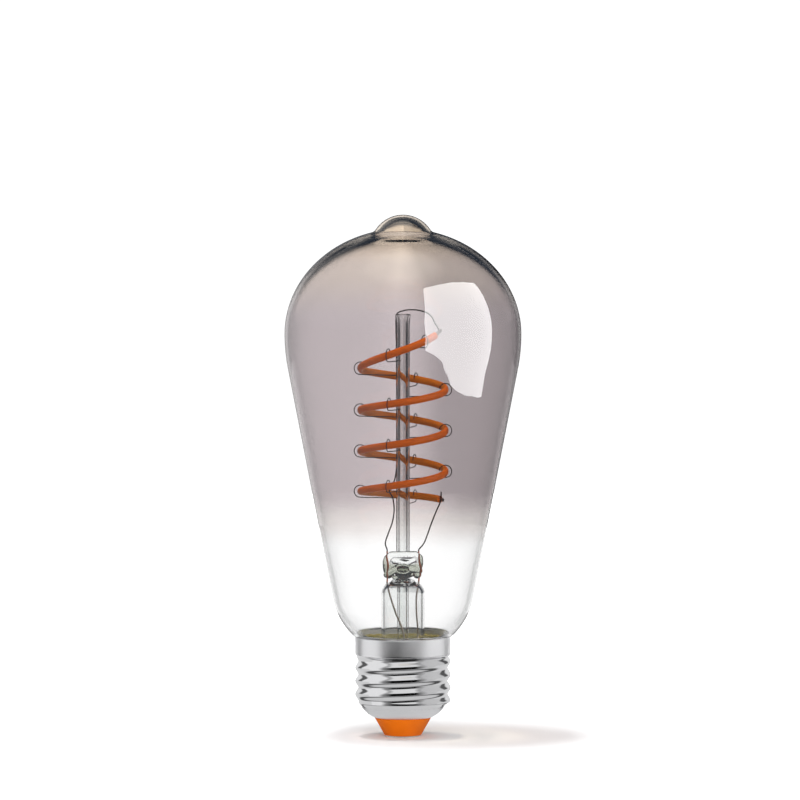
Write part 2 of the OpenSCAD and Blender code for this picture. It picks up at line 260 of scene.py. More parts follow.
def mixColour(tree, factor, first, second, blend="MIX"):
    node = addNode(tree, "ShaderNodeMix", data_type="RGBA", blend_type=blend)
    feedAll(tree, node, {0: factor, 6: first, 7: second})
    return node.outputs[2]


def mixSurface(tree, factor, first, second):
    # the surface shows the first shader, or the second by the factor
    mix = addNode(tree, "ShaderNodeMixShader", {0: factor, 1: first, 2: second})
    tree.links.new(mix.outputs["Shader"], tree.nodes["Material Output"].inputs["Surface"])


def splitVector(tree, vector):
    return addNode(tree, "ShaderNodeSeparateXYZ", {0: vector}).outputs


def objectCoords(tree):
    return addNode(tree, "ShaderNodeTexCoord").outputs["Object"]


def objectHeight(tree):
    return splitVector(tree, objectCoords(tree))["Z"]


def makeMottleGroup():
    # uneven tone at two sizes, for colour, roughness and bump
    group = bpy.data.node_groups.new("mottle", "ShaderNodeTree")
    face = group.interface
    for label, value in (("Coarse Scale", 200.0), ("Fine Scale", 2000.0), ("Fine Share", 0.4)):
        socket = face.new_socket(label, in_out="INPUT", socket_type="NodeSocketFloat")
        socket.default_value = value
    face.new_socket("Mask", in_out="OUTPUT", socket_type="NodeSocketFloat")
    entry = addNode(group, "NodeGroupInput").outputs
    coords = objectCoords(group)
    layers = []
    for label, detail in (("Coarse Scale", 2.0), ("Fine Scale", 3.0)):
        values = {"Detail": detail, "Vector": coords, "Scale": entry[label]}
        layers.append(addNode(group, "ShaderNodeTexNoise", values).outputs["Fac"])
    blend = addNode(group, "ShaderNodeMix", {0: entry["Fine Share"], 2: layers[0], 3: layers[1]})
    addNode(group, "NodeGroupOutput", {"Mask": blend.outputs[0]})
    return group


mottleGroup = makeMottleGroup()


def mottle(tree, coarse, fine, share):
    values = {"Coarse Scale": coarse, "Fine Scale": fine, "Fine Share": share}
    return addNode(tree, "ShaderNodeGroup", values, node_tree=mottleGroup).outputs["Mask"]


def mottledColour(tree, shader, look):
    tone = mottle(tree, *look["grain"])
    feed(tree, shader.inputs["Base Color"], mixColour(tree, tone, look["dark"], look["light"]))
    return tone


def bump(tree, shader, height, strength, distance):
    node = addNode(tree, "ShaderNodeBump", {"Strength": strength, "Distance": distance, "Height": height})
    tree.links.new(node.outputs["Normal"], shader.inputs["Normal"])


# materials

def finishGlass(tree, shader, colour, shadowTint, ior):
    feedAll(tree, shader, {"Base Color": colour, "Roughness": 0.0, "Transmission Weight": 1.0, "IOR": ior})
    # shadow rays pass the glass, so lamps reach what is inside it
    clear = addNode(tree, "ShaderNodeBsdfTransparent", {"Color": shadowTint})
    path = addNode(tree, "ShaderNodeLightPath")
    mixSurface(tree, path.outputs["Is Shadow Ray"], shader.outputs["BSDF"], clear.outputs["BSDF"])


smoke = {
    "clearBelow": 51.5 * mm,
    "fullAbove": 67 * mm,
    "top": 138 * mm,
    "clear": (0.985, 0.985, 0.985),
    "fadeWarm": (0.86, 0.83, 0.82),
    "fadeAt": 0.45,
    "mid": (0.69, 0.645, 0.655),
    "midTo": 0.72,
    "shoulder": (0.76, 0.70, 0.665),
    "shoulderAt": 0.9,
    "crown": (0.84, 0.75, 0.65),
    # painted shade on the rims: its blue-black colour, the facing where it starts and ends, and its share; then
    # the crown's painted shade by facing and by height
    "edge": (0.01, 0.016, 0.03),
    "rimTintAndShadeFrom": 0.88,
    "rimTintAndShadeTo": 1.0,
    "rimTintAndShadeShare": 0.4,
    "crownShadeFrom": 0.7,
    "crownShadeTo": 0.88,
    "crownShadeBottom": 113 * mm,
    "crownShadeTop": 128 * mm,
    "ior": 1.5,
}


def smokedGlass():
    material, tree, shader = newMaterial("smokedGlass")
    height = objectHeight(tree)
    along = mapRange(tree, height, smoke["clearBelow"], smoke["top"])
    full = (smoke["fullAbove"] - smoke["clearBelow"]) / (smoke["top"] - smoke["clearBelow"])
    tint = ramp(tree, along, (
        (0.0, smoke["clear"]),
        (full * smoke["fadeAt"], smoke["fadeWarm"]),
        (full, smoke["mid"]),
        (smoke["midTo"], smoke["mid"]),
        (smoke["shoulderAt"], smoke["shoulder"]),
        (1.0, smoke["crown"]),
    ), "EASE")
    # the tint is deeper where the wall is seen edge on: partly the longer path through the tinted wall, partly
    # painted shade on the rims, with more painted shade on the rims near the crown
    facing = addNode(tree, "ShaderNodeLayerWeight", {"Blend": 0.5}).outputs["Facing"]
    rimTintAndShade = mapRange(tree, facing, smoke["rimTintAndShadeFrom"], smoke["rimTintAndShadeTo"], 0.0, smoke["rimTintAndShadeShare"])
    # painted shade on the rims near the crown, limited by facing and by height
    crownShadeFacing = mapRange(tree, facing, smoke["crownShadeFrom"], smoke["crownShadeTo"], smooth=True)
    dome = mapRange(tree, height, smoke["crownShadeBottom"], smoke["crownShadeTop"], smooth=True)
    rimTintAndShade = mathNode(tree, "MAXIMUM", rimTintAndShade, mathNode(tree, "MULTIPLY", dome, crownShadeFacing))
    rimTintAndShade = mathNode(tree, "MULTIPLY", rimTintAndShade, mapRange(tree, along, 0.0, full))
    # edge: the wall's tint darkened towards blue-black painted shade on the rims
    edge = mixColour(tree, rimTintAndShade, (1.0, 1.0, 1.0), smoke["edge"])
    finishGlass(tree, shader, mixColour(tree, 1.0, tint, edge, "MULTIPLY"), tint, smoke["ior"])
    return material


clearTint = {
    "dark": (0.97, 0.98, 0.975),
    "light": (0.985, 0.99, 0.985),
    "grain": (300, 900, 0.3),
    "ior": 1.52,
}


def clearGlass():
    material, tree, shader = newMaterial("clearGlass")
    tint = mixColour(tree, mottle(tree, *clearTint["grain"]), clearTint["dark"], clearTint["light"])
    finishGlass(tree, shader, tint, tint, clearTint["ior"])
    return material


pressTint = {
    "clear": (0.96, 0.97, 0.96),
    "dark": (0.33, 0.35, 0.29),
    "light": (0.62, 0.64, 0.56),
    "sideFrom": 3.9 * mm,
    "sideTo": 4.8 * mm,
    "topFrom": 50.0 * mm,
    "topTo": 51.0 * mm,
    "bandMiddle": 45.3 * mm,
    "bandInner": 1.5 * mm,
    "bandOuter": 2.6 * mm,
    "grain": (500, 1500, 0.4),
    "bump": (0.5, 0.25 * mm),
}


def pressGlass():
    # the worked rim and the blown middle are thicker and greener than the window between them
    material, tree, shader = newMaterial("pressGlass")
    tone = mottle(tree, *pressTint["grain"])
    axes = splitVector(tree, objectCoords(tree))
    across = mathNode(tree, "ABSOLUTE", axes["X"])
    side = mapRange(tree, across, pressTint["sideFrom"], pressTint["sideTo"], smooth=True)
    brow = mapRange(tree, axes["Z"], pressTint["topFrom"], pressTint["topTo"], smooth=True)
    offset = mathNode(tree, "ABSOLUTE", mathNode(tree, "SUBTRACT", axes["Z"], pressTint["bandMiddle"]))
    band = mapRange(tree, offset, pressTint["bandOuter"], pressTint["bandInner"], smooth=True)
    worked = mixColour(tree, tone, pressTint["dark"], pressTint["light"])
    thick = mathNode(tree, "MAXIMUM", mathNode(tree, "MAXIMUM", side, brow), band)
    tint = mixColour(tree, thick, pressTint["clear"], worked)
    bump(tree, shader, tone, *pressTint["bump"])
    finishGlass(tree, shader, tint, tint, clearTint["ior"])
    return material


silicone = {
    "front": (0.93, 0.2, 0.003),
    "frontDeep": (0.8, 0.155, 0.002),
    "back": (0.66, 0.2, 0.012),
    "turn": (-0.35, 0.15),
    "grain": (450, 2600, 0.45),
    "roughness": (0.3, 0.7, 0.38, 0.55),
    "specular": 0.12,
    "bump": (0.25, 0.05 * mm),
}


def phosphorSilicone():
    # orange on the outward face, brown on the face that looks at the mast
    material, tree, shader = newMaterial("phosphorSilicone")
    outward = vectorNode(tree, "NORMALIZE", vectorNode(tree, "MULTIPLY", objectCoords(tree), (1, 1, 0)))
    normal = addNode(tree, "ShaderNodeNewGeometry").outputs["Normal"]
    side = mapRange(tree, vectorNode(tree, "DOT_PRODUCT", normal, outward), *silicone["turn"], smooth=True)
    tone = mottle(tree, *silicone["grain"])
    front = mixColour(tree, tone, silicone["frontDeep"], silicone["front"])
    feedAll(tree, shader, {
        "Base Color": mixColour(tree, side, silicone["back"], front),
        "Roughness": mapRange(tree, tone, *silicone["roughness"]),
        "Specular IOR Level": silicone["specular"],
    })
    bump(tree, shader, tone, *silicone["bump"])
    return material


# each metal: dark tone, light tone, roughness and its spread
metals = {
    "leadMetal": ((0.05, 0.042, 0.04), (0.1, 0.085, 0.08), 0.45, 0.3),
    "outerLeadMetal": ((0.3, 0.25, 0.21), (0.42, 0.36, 0.3), 0.4, 0.2),
    "tabMetal": ((0.5, 0.48, 0.45), (0.62, 0.6, 0.57), 0.35, 0.2),
    "copperClad": ((0.55, 0.14, 0.07), (0.72, 0.24, 0.13), 0.35, 0.2),
    "contactMetal": ((0.42, 0.4, 0.36), (0.58, 0.56, 0.5), 0.33, 0.25),
    "tinnedWire": ((0.6, 0.6, 0.6), (0.75, 0.75, 0.75), 0.3, 0.2),
    "shieldCan": ((0.6, 0.6, 0.62), (0.74, 0.74, 0.76), 0.3, 0.2),
    "goldTrace": ((0.62, 0.42, 0.1), (0.78, 0.56, 0.2), 0.28, 0.15),
}

metalFinish = {"grain": (600, 4000, 0.5), "tones": (0.25, 0.75), "bump": (0.15, 0.02 * mm)}


def plainMetal(name):
    dark, light, roughness, spread = metals[name]
    material, tree, shader = newMaterial(name)
    tone = mottledColour(tree, shader, {"dark": dark, "light": light, "grain": metalFinish["grain"]})
    rough = mapRange(tree, tone, *metalFinish["tones"], roughness - spread / 2, roughness + spread / 2)
    feedAll(tree, shader, {"Roughness": rough, "Metallic": 1.0})
    bump(tree, shader, tone, *metalFinish["bump"])
    return material


nickel = {
    "dark": (0.66, 0.66, 0.675),
    "light": (0.79, 0.79, 0.8),
    "grain": (250, 3500, 0.5),
    "threadRoughness": 0.07,
    "satinRoughness": 0.36,
    "spread": (0.3, 0.7, 0.9, 1.15),
    "threadFrom": 8.3 * mm,
    "threadTo": 22.6 * mm,
    "blend": 0.5 * mm,
    "ringScale": 9000,
    "ringBump": (0.25, 0.01 * mm),
}


def nickelShell():
    # bright thread between a satin skirt and a satin foot
    material, tree, shader = newMaterial("nickelShell")
    height = objectHeight(tree)
    tone = mottledColour(tree, shader, nickel)
    soft = nickel["blend"]
    above = mapRange(tree, height, nickel["threadTo"] - soft, nickel["threadTo"] + soft)
    below = mapRange(tree, height, nickel["threadFrom"] + soft, nickel["threadFrom"] - soft)
    satin = mathNode(tree, "MAXIMUM", above, below)
    base = mapRange(tree, satin, 0, 1, nickel["threadRoughness"], nickel["satinRoughness"])
    rough = mathNode(tree, "MULTIPLY", base, mapRange(tree, tone, *nickel["spread"]))
    feedAll(tree, shader, {"Roughness": rough, "Metallic": 1.0})
    # fine rings left by spinning the sheet
    rings = addNode(tree, "ShaderNodeTexNoise", noise_dimensions="1D")
    feedAll(tree, rings, {"Scale": nickel["ringScale"], "W": height})
    bump(tree, shader, mathNode(tree, "MULTIPLY", rings.outputs["Fac"], satin), *nickel["ringBump"])
    return material


# each plastic: dark tone, light tone, roughness and coat
plastics = {
    "orangeInsulator": ((0.74, 0.15, 0.0001), (0.8, 0.165, 0.0002), 0.7, 0.0),
    "whitePlastic": ((0.8, 0.8, 0.77), (0.88, 0.88, 0.85), 0.5, 0.0),
    "circuitBoard": ((0.02, 0.14, 0.05), (0.04, 0.24, 0.1), 0.35, 0.3),
    "blackPackage": ((0.02, 0.02, 0.02), (0.05, 0.05, 0.05), 0.55, 0.0),
    "capacitorSleeve": ((0.03, 0.03, 0.07), (0.06, 0.06, 0.12), 0.3, 0.4),
    "redWire": ((0.5, 0.03, 0.02), (0.65, 0.06, 0.04), 0.35, 0.2),
    "flexCircuit": ((0.42, 0.28, 0.1), (0.56, 0.4, 0.18), 0.5, 0.0),
    "ferrite": ((0.04, 0.04, 0.045), (0.09, 0.09, 0.09), 0.75, 0.0),
    "resistorBody": ((0.14, 0.32, 0.28), (0.22, 0.44, 0.38), 0.4, 0.2),
    "chipCeramic": ((0.42, 0.3, 0.18), (0.55, 0.42, 0.27), 0.5, 0.0),
    "ledDie": ((0.75, 0.66, 0.2), (0.9, 0.84, 0.4), 0.25, 0.3),
}

plasticFinish = {
    "grain": (350, 3000, 0.4),
    "tones": (0.25, 0.75),
    "spread": (0.06, 0.08),
    "specular": 0.15,
    "bump": (0.2, 0.03 * mm),
}


def plainPlastic(name):
    dark, light, roughness, coat = plastics[name]
    material, tree, shader = newMaterial(name)
    tone = mottledColour(tree, shader, {"dark": dark, "light": light, "grain": plasticFinish["grain"]})
    smoother, rougher = plasticFinish["spread"]
    rough = mapRange(tree, tone, *plasticFinish["tones"], roughness - smoother, roughness + rougher)
    feedAll(tree, shader, {
        "Roughness": rough, "Coat Weight": coat, "Specular IOR Level": plasticFinish["specular"],
    })
    bump(tree, shader, tone, *plasticFinish["bump"])
    return material


cementLook = {
    "dark": (0.12, 0.095, 0.015),
    "light": (0.36, 0.3, 0.08),
    "grain": (500, 2500, 0.5),
    "roughness": 0.85,
    "bump": (0.6, 0.2 * mm),
}


def cappingCement():
    material, tree, shader = newMaterial("cappingCement")
    tone = mottledColour(tree, shader, cementLook)
    shader.inputs["Roughness"].default_value = cementLook["roughness"]
    bump(tree, shader, tone, *cementLook["bump"])
    return material


materials = {
    "smokedGlass": smokedGlass(),
    "clearGlass": clearGlass(),
    "pressGlass": pressGlass(),
    "phosphorSilicone": phosphorSilicone(),
}
for metalName in metals:
    materials[metalName] = plainMetal(metalName)
materials["nickelShell"] = nickelShell()
for plasticName in plastics:
    materials[plasticName] = plainPlastic(plasticName)
materials["cement"] = cappingCement()
print("materials built")


# geometry node trees

def geometryTree(name, inputs):
    tree = bpy.data.node_groups.new(name, "GeometryNodeTree")
    tree.interface.new_socket("Geometry", in_out="INPUT", socket_type="NodeSocketGeometry")
    for label, kind in inputs:
        tree.interface.new_socket(label, in_out="INPUT", socket_type="NodeSocket" + kind)
    tree.interface.new_socket("Geometry", in_out="OUTPUT", socket_type="NodeSocketGeometry")
    return tree, addNode(tree, "NodeGroupInput").outputs


def finishTree(tree, get, geometry):
    # every tree ends in plain geometry with its material
    real = addNode(tree, "GeometryNodeRealizeInstances", {0: geometry}).outputs[0]
    smooth = addNode(tree, "GeometryNodeSetShadeSmooth", {"Geometry": real}).outputs[0]
    paint = addNode(tree, "GeometryNodeSetMaterial", {"Geometry": smooth, "Material": get["Material"]})
    addNode(tree, "NodeGroupOutput", {0: paint.outputs[0]})
    return tree


def sweepAlong(tree, curve, profile):
    values = {"Curve": curve, "Profile Curve": profile, "Fill Caps": True}
    return addNode(tree, "GeometryNodeCurveToMesh", values).outputs["Mesh"]


def socketId(tree, label):
    for item in tree.interface.items_tree:
        if item.item_type == "SOCKET" and item.in_out == "INPUT" and item.name == label:
            return item.identifier
    raise KeyError(label)


def evaluatedMesh(name, source):
    bpy.context.view_layer.update()
    graph = bpy.context.evaluated_depsgraph_get()
    mesh = bpy.data.meshes.new_from_object(source.evaluated_get(graph))
    mesh.name = name
    source.modifiers.clear()
    return mesh


def bakeTree(name, source, tree, values):
    # runs a tree on an object and keeps the result as a plain mesh
    modifier = source.modifiers.new(tree.name, "NODES")
    modifier.node_group = tree
    for label, value in values.items():
        modifier[socketId(tree, label)] = value
    mesh = evaluatedMesh(name, source)
    bpy.data.objects.remove(source)
    return placeObject(name, mesh)


def makeRoundWireTree():
    # a round wire along the given curve
    labels = (("Radius", "Float"), ("Sides", "Int"), ("Material", "Material"))
    tree, get = geometryTree("roundWire", labels)
    values = {"Radius": get["Radius"], "Resolution": get["Sides"]}
    ring = addNode(tree, "GeometryNodeCurvePrimitiveCircle", values)
    return finishTree(tree, get, sweepAlong(tree, get["Geometry"], ring.outputs["Curve"]))


roundWireTree = makeRoundWireTree()


def routeCurve(name, points):
    curve = bpy.data.curves.new(name, "CURVE")
    curve.dimensions = "3D"
    spline = curve.splines.new("POLY")
    spline.points.add(len(points) - 1)
    for target, point in zip(spline.points, points):
        target.co = (point[0] * mm, point[1] * mm, point[2] * mm, 1)
    return placeObject(name, curve)


def roundWire(name, points, radius, material):
    values = {"Radius": radius * mm, "Sides": wireSides, "Material": material}
    return bakeTree(name, routeCurve(name + "Route", points), roundWireTree, values)


# the blown glass

envelope = {
    "wall": 0.9,
    "crownWall": 1.8,
    "crownFrom": 0.1,
    "bowlShare": 0.5,
    "neckShare": 0.9,
    "thinOver": 8,
    "flankFrom": 70,
    "flankOver": 35,
    "widest": 110,
    "flankTilt": 11,
    "bowlRadius": 18.7,
    "bowlCentre": (0.74, 41.16),
    "bowlStart": 47,
    "neckRadius": 11.5,
    "neckBend": 26.2,
    "fillet": 1.6,
    "filletArc": (165, 133),
    "tipFoot": 7.9,
    "tipHeight": 4.8,
    "tipTrim": 2,
    "tipRound": 0.5,
    "tipOverlap": 1,
    "shoulderEnd": 75.5,
    "shoulderSteps": 48,
    "tipSteps": 20,
}


def envelopeLine(inset, crownInset=0.0):
    neckZ, bulbH, glassR = spanOf(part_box("glass_envelope"))
    slope, widest = envelope["flankTilt"], envelope["widest"]
    tilt = math.radians(slope)
    centre, bowlR = envelope["bowlCentre"], envelope["bowlRadius"]
    footR = centre[0] + bowlR * math.cos(tilt)
    footZ = centre[1] - bowlR * math.sin(tilt)
    rise = glassR - footR - (widest - footZ) * math.tan(tilt)
    turnR = rise / (1 - math.cos(tilt) - math.sin(tilt) * math.tan(tilt))
    neckR, bendZ, fillet = envelope["neckRadius"], envelope["neckBend"], envelope["fillet"]
    line = straightLine((neckR - inset, neckZ), (neckR - inset, bendZ), 6)
    line += arcPoints((neckR + fillet, bendZ), fillet + inset, *envelope["filletArc"], 4)
    line += arcPoints(centre, bowlR - inset, -envelope["bowlStart"], -slope, 26)
    flankEnd = arcPoints((glassR - turnR, widest), turnR - inset, -slope, 0, 12)
    line += straightLine(line[-1], flankEnd[0], 24)[1:-1] + flankEnd
    tall = bulbH - envelope["tipHeight"] - widest + envelope["tipOverlap"]
    shoulder = []
    for i in range(1, envelope["shoulderSteps"] + 1):
        # the blown wall thickens towards the crown
        along = i / envelope["shoulderSteps"]
        a = math.radians(envelope["shoulderEnd"] * along)
        share = easedShare(max(0, along - envelope["crownFrom"]) / (1 - envelope["crownFrom"]))
        depth = inset + (crownInset - inset) * share * (crownInset > 0)
        shoulder.append(((glassR - depth) * math.cos(a), widest + (tall - depth) * math.sin(a)))
    inset = max(inset, crownInset)
    tipR = (envelope["tipFoot"] ** 2 + envelope["tipHeight"] ** 2) / (2 * envelope["tipHeight"])
    foot = math.asin(envelope["tipFoot"] / tipR) - math.radians(envelope["tipTrim"])
    tip = []
    for i in range(envelope["tipSteps"] + 1):
        a = foot * (1 - i / envelope["tipSteps"])
        tip.append(((tipR - inset) * math.sin(a), bulbH - tipR + (tipR - inset) * math.cos(a)))
    between = tuple((a + b) / 2 for a, b in zip(shoulder[-1], tip[0]))
    return line + shoulder[:-1] + roundedCorner(shoulder[-2], between, tip[2], envelope["tipRound"]) + tip[2:]


def wallShare(z):
    # the blown wall is thinnest in the bowl
    thin, full, neck = envelope["bowlShare"], envelope["neckShare"], envelope["neckBend"]
    if z < neck + envelope["thinOver"]:
        return full + (thin - full) * max(0, z - neck) / envelope["thinOver"]
    return thin + (1 - thin) * limited((z - envelope["flankFrom"]) / envelope["flankOver"])


def buildEnvelope():
    outer = envelopeLine(0)
    full = envelopeLine(envelope["wall"], envelope["crownWall"])
    inner = [tuple(Vector(o).lerp(Vector(i), wallShare(o[1]))) for o, i in zip(outer, full)]
    lip = envelope["neckRadius"] - envelope["wall"] / 2
    neckZ = outer[0][1]
    outline = [(lip, neckZ)] + outer[:-1] + [(0, outer[-1][1])]
    outline += [(0, inner[-1][1])] + list(reversed(inner[:-1]))
    mesh = turnedMesh("glassEnvelope", outline, 224, 50)
    return keep(newObject("glassEnvelope", mesh, materials["smokedGlass"]), "glass_envelope")


buildEnvelope()
print("envelope built")


# the glass stem

stem = {
    "radius": 5.95,
    "wall": 0.85,
    "shoulder": 39.2,
    "domeRadius": 3.2,
    "innerDomeRadius": 2.3,
    "roof": 42.3,
    "roofTop": 43.4,
    "flareRadius": 4.75,
    "flareRise": 5.2,
    "bore": 0.95,
    "neckInside": 10.68,
    "footGap": 0.5,
    "footDepth": 0.45,
}


def buildStemFlare():
    foot = spanOf(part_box("stem_flare"))[0] + stem["footGap"]
    r, wall, bore, edge = stem["radius"], stem["wall"], stem["bore"], stem["neckInside"]
    bend, shoulder, roof, top = foot + stem["flareRise"], stem["shoulder"], stem["roof"], stem["roofTop"]
    dome, innerDome, flare = stem["domeRadius"], stem["innerDomeRadius"], stem["flareRadius"]
    centre = (r + flare, bend)
    outer = [(edge, foot)] + arcPoints(centre, flare, 266, 180, 16)
    outer += straightLine((r, bend), (r, shoulder), 8)[1:]
    outer += arcPoints((r - dome, shoulder), dome, 10, 76, 10)
    outer += [(3.0, top - 0.45), (2.2, top - 0.12), (bore + 0.4, top), (bore, top)]
    inner = arcPoints(centre, flare + wall - 0.1, 264, 180, 16)
    inner += straightLine((r - wall, bend), (r - wall, shoulder), 8)[1:]
    inner += arcPoints((r - wall - innerDome, shoulder), innerDome, 10, 74, 8)
    inner += [(2.0, roof - 0.3), (bore + 0.25, roof), (bore, roof)]
    lip = [(edge - 0.9, foot - stem["footDepth"]), (edge - 0.1, foot - stem["footDepth"])]
    mesh = turnedMesh("stemFlare", outer + inner[::-1] + lip, 96, 50)
    return keep(newObject("stemFlare", mesh, materials["clearGlass"]), "stem_flare")


press = {
    "width": 11.2,
    "edge": 1.2,
    "webThickness": 1.6,
    "bottom": 43.5,
    "eyeZ": 45.6,
    "eyeBall": (2.7, 2.1, 2.2),
    "bubble": (1.6, 1.2, 0.8),
    "bubbleLift": 0.15,
    "voxel": 0.14,
    "relaxShare": 0.5,
    "relaxSteps": 14,
}
# worked lumps round the eye: start, end and radius, with heights counted from the eye
pressLumps = (
    ((-4.5, -0.55, -1.3), (-2.0, -0.85, 0), 0.85),
    ((2.0, -0.85, 0.4), (4.6, -0.5, -0.2), 0.8),
    ((-4.5, 0.55, -1.3), (-2.0, 0.85, 0), 0.85),
    ((2.0, 0.85, 0.4), (4.6, 0.5, -0.2), 0.8),
    ((-2.4, -0.9, 2.5), (1.5, -0.9, 2.1), 0.72),
    ((1.5, -0.9, 2.1), (3.6, -0.7, 3.0), 0.6),
    ((-2.4, -0.8, -2.0), (-0.4, -0.8, -2.7), 0.6),
    ((0.4, -0.8, -2.0), (2.6, -0.7, -1.2), 0.6),
    ((0, 0, -1.5), (0, 0, 0), 1.3),
)


def addBall(bm, place, radii, steps):
    ball = bmesh.ops.create_uvsphere(bm, u_segments=steps * 2, v_segments=steps, radius=1)
    move = Matrix.Translation(Vector(place)) @ Matrix.Diagonal((*radii, 1))
    bmesh.ops.transform(bm, matrix=move, verts=ball["verts"])


def addLimb(bm, start, end, radius):
    # a round bar with ball ends
    a, b = Vector(start), Vector(end)
    turn = (b - a).to_track_quat("Z", "Y").to_matrix().to_4x4()
    move = Matrix.Translation((a + b) / 2) @ turn
    bmesh.ops.create_cone(
        bm, cap_ends=True, segments=20, radius1=radius, radius2=radius, depth=(b - a).length, matrix=move
    )
    for place in (start, end):
        addBall(bm, place, (radius,) * 3, 10)


def buildStemPress():
    # slab with thick rounded edges, pinched middle and a blown eye
    top = spanOf(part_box("stem_press"))[1]
    half, bottom, edge, eye = press["width"] / 2, press["bottom"], press["edge"], press["eyeZ"]
    left, right = -half + edge, half - edge
    rim = [
        (-3.9, 0, bottom + 0.9), (-4.3, 0, bottom + 2.6), (left, 0, bottom + 4.2), (left + 0.3, 0, top - 2.2),
        (left + 1.3, 0, top - edge - 0.1), (0, 0, top - edge), (right - 1.1, 0, top - edge),
        (right - 0.1, 0, top - 2), (right, 0, top - 3.4), (right - 0.5, 0, bottom + 2.2),
        (3.9, 0, bottom + 0.9),
    ]
    bm = bmesh.new()
    for a, b in zip(rim[:-1], rim[1:]):
        addLimb(bm, a, b, edge)
    web = bmesh.ops.create_cube(bm, size=1)
    size = (2 * half - 2 * edge, press["webThickness"], top - bottom - 2 * edge, 1)
    move = Matrix.Translation((0, 0, (top + bottom) / 2)) @ Matrix.Diagonal(size)
    bmesh.ops.transform(bm, matrix=move, verts=web["verts"])
    addBall(bm, (0, 0, eye), press["eyeBall"], 20)
    for start, end, radius in pressLumps:
        addLimb(bm, (*start[:2], eye + start[2]), (*end[:2], eye + end[2]), radius)
    bmesh.ops.scale(bm, vec=(mm, mm, mm), verts=bm.verts)
    obj = newObject("stemPress", meshFrom("stemPress", bm), materials["pressGlass"])
    remesh = obj.modifiers.new("remesh", "REMESH")
    remesh.mode = "VOXEL"
    remesh.voxel_size = press["voxel"] * mm
    relax = obj.modifiers.new("relax", "SMOOTH")
    relax.factor = press["relaxShare"]
    relax.iterations = press["relaxSteps"]
    body = evaluatedMesh("stemPress", obj)
    obj.data = body
    # the eye is an air bubble, so its skin faces inwards
    bm = bmesh.new()
    addBall(bm, (0, 0, eye + press["bubbleLift"]), press["bubble"], 24)
    bmesh.ops.scale(bm, vec=(mm, mm, mm), verts=bm.verts)
    bmesh.ops.reverse_faces(bm, faces=bm.faces)
    bm.from_mesh(body)
    bm.to_mesh(body)
    bm.free()
    if not body.materials:
        body.materials.append(materials["pressGlass"])
    smoothMesh(body, 180)
    return keep(obj, "stem_press")


mast = {"radius": 1.85, "bore": 1.0, "mouthGrowth": 0.25, "mouthLength": 3, "gap": 0.03}


def buildSupportTube():
    bottom, top, _ = spanOf(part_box("support_tube"))
    bottom += mast["gap"]
    r, bore, wide = mast["radius"], mast["bore"], mast["radius"] + mast["mouthGrowth"]
    even = top - mast["mouthLength"]
    outline = straightLine((r, bottom), (r, even), 30)
    outline += [(r + 0.05, top - 2), (r + 0.15, top - 1.1)]
    outline += [(wide - 0.02, top - 0.5), (wide - 0.04, top - 0.22)]
    outline += arcPoints((wide - 0.35, top - 0.3), 0.3, 15, 165, 8)
    outline += [(bore + 0.32, top - 0.8), (bore + 0.15, top - 1.5), (bore + 0.04, top - 2.4)]
    outline += straightLine((bore, even), (bore, bottom), 30)
    mesh = turnedMesh("supportTube", outline, 64, 60)
    return keep(newObject("supportTube", mesh, materials["clearGlass"]), "support_tube")


exhaust = {"radius": 1.6, "bore": 0.95, "plug": 3, "gap": 0.03}


def buildExhaustTube():
    bottom, top, _ = spanOf(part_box("exhaust_tube"))
    top -= exhaust["gap"]
    r, bore, floor = exhaust["radius"], exhaust["bore"], bottom + exhaust["plug"]
    outline = [(0, bottom)] + arcPoints((0, bottom + r), r, -82, 0, 10)
    outline += straightLine((r, bottom + r), (r, top), 12)[1:] + straightLine((bore, top), (bore, floor), 12)
    outline += arcPoints((0, floor), bore, 0, -82, 8)[1:] + [(0, floor - bore)]
    mesh = turnedMesh("exhaustTube", outline, 48, 60)
    return keep(newObject("exhaustTube", mesh, materials["clearGlass"]), "exhaust_tube")


buildStemFlare()
buildStemPress()
buildSupportTube()
buildExhaustTube()
print("stem built")


# filament, hooks and wires

coil = {
    "radius": 11.6,
    "pitch": 11.2,
    "midHeight": 83.9,
    "midAngle": 720,
    "firstAngle": 41,
    "lastAngle": 1411,
    "topLift": 5,
    "topLiftFrom": 200,
    "topLiftSpan": 159,
    "topLiftPower": 1.6,
    "endLift": 2.1,
    "endLiftFrom": 1240,
    "endLiftSpan": 171,
    "endLiftPower": 1.5,
    "strandWidth": 1.7,
    "strandHeight": 2.0,
    "steps": 900,
    "unevenness": 0.1,
    "noiseScale": 700.0,
    "seed": 4.0,
}


def coilHeight(angle):
    top = max(0, coil["topLiftFrom"] - angle) / coil["topLiftSpan"]
    end = max(0, angle - coil["endLiftFrom"]) / coil["endLiftSpan"]
    lift = coil["topLift"] * top ** coil["topLiftPower"] + coil["endLift"] * end ** coil["endLiftPower"]
    return coil["midHeight"] + coil["pitch"] * (coil["midAngle"] - angle) / 360 + lift


def coilPoint(angle):
    a = math.radians(angle)
    return Vector((coil["radius"] * math.cos(a), -coil["radius"] * math.sin(a), coilHeight(angle)))


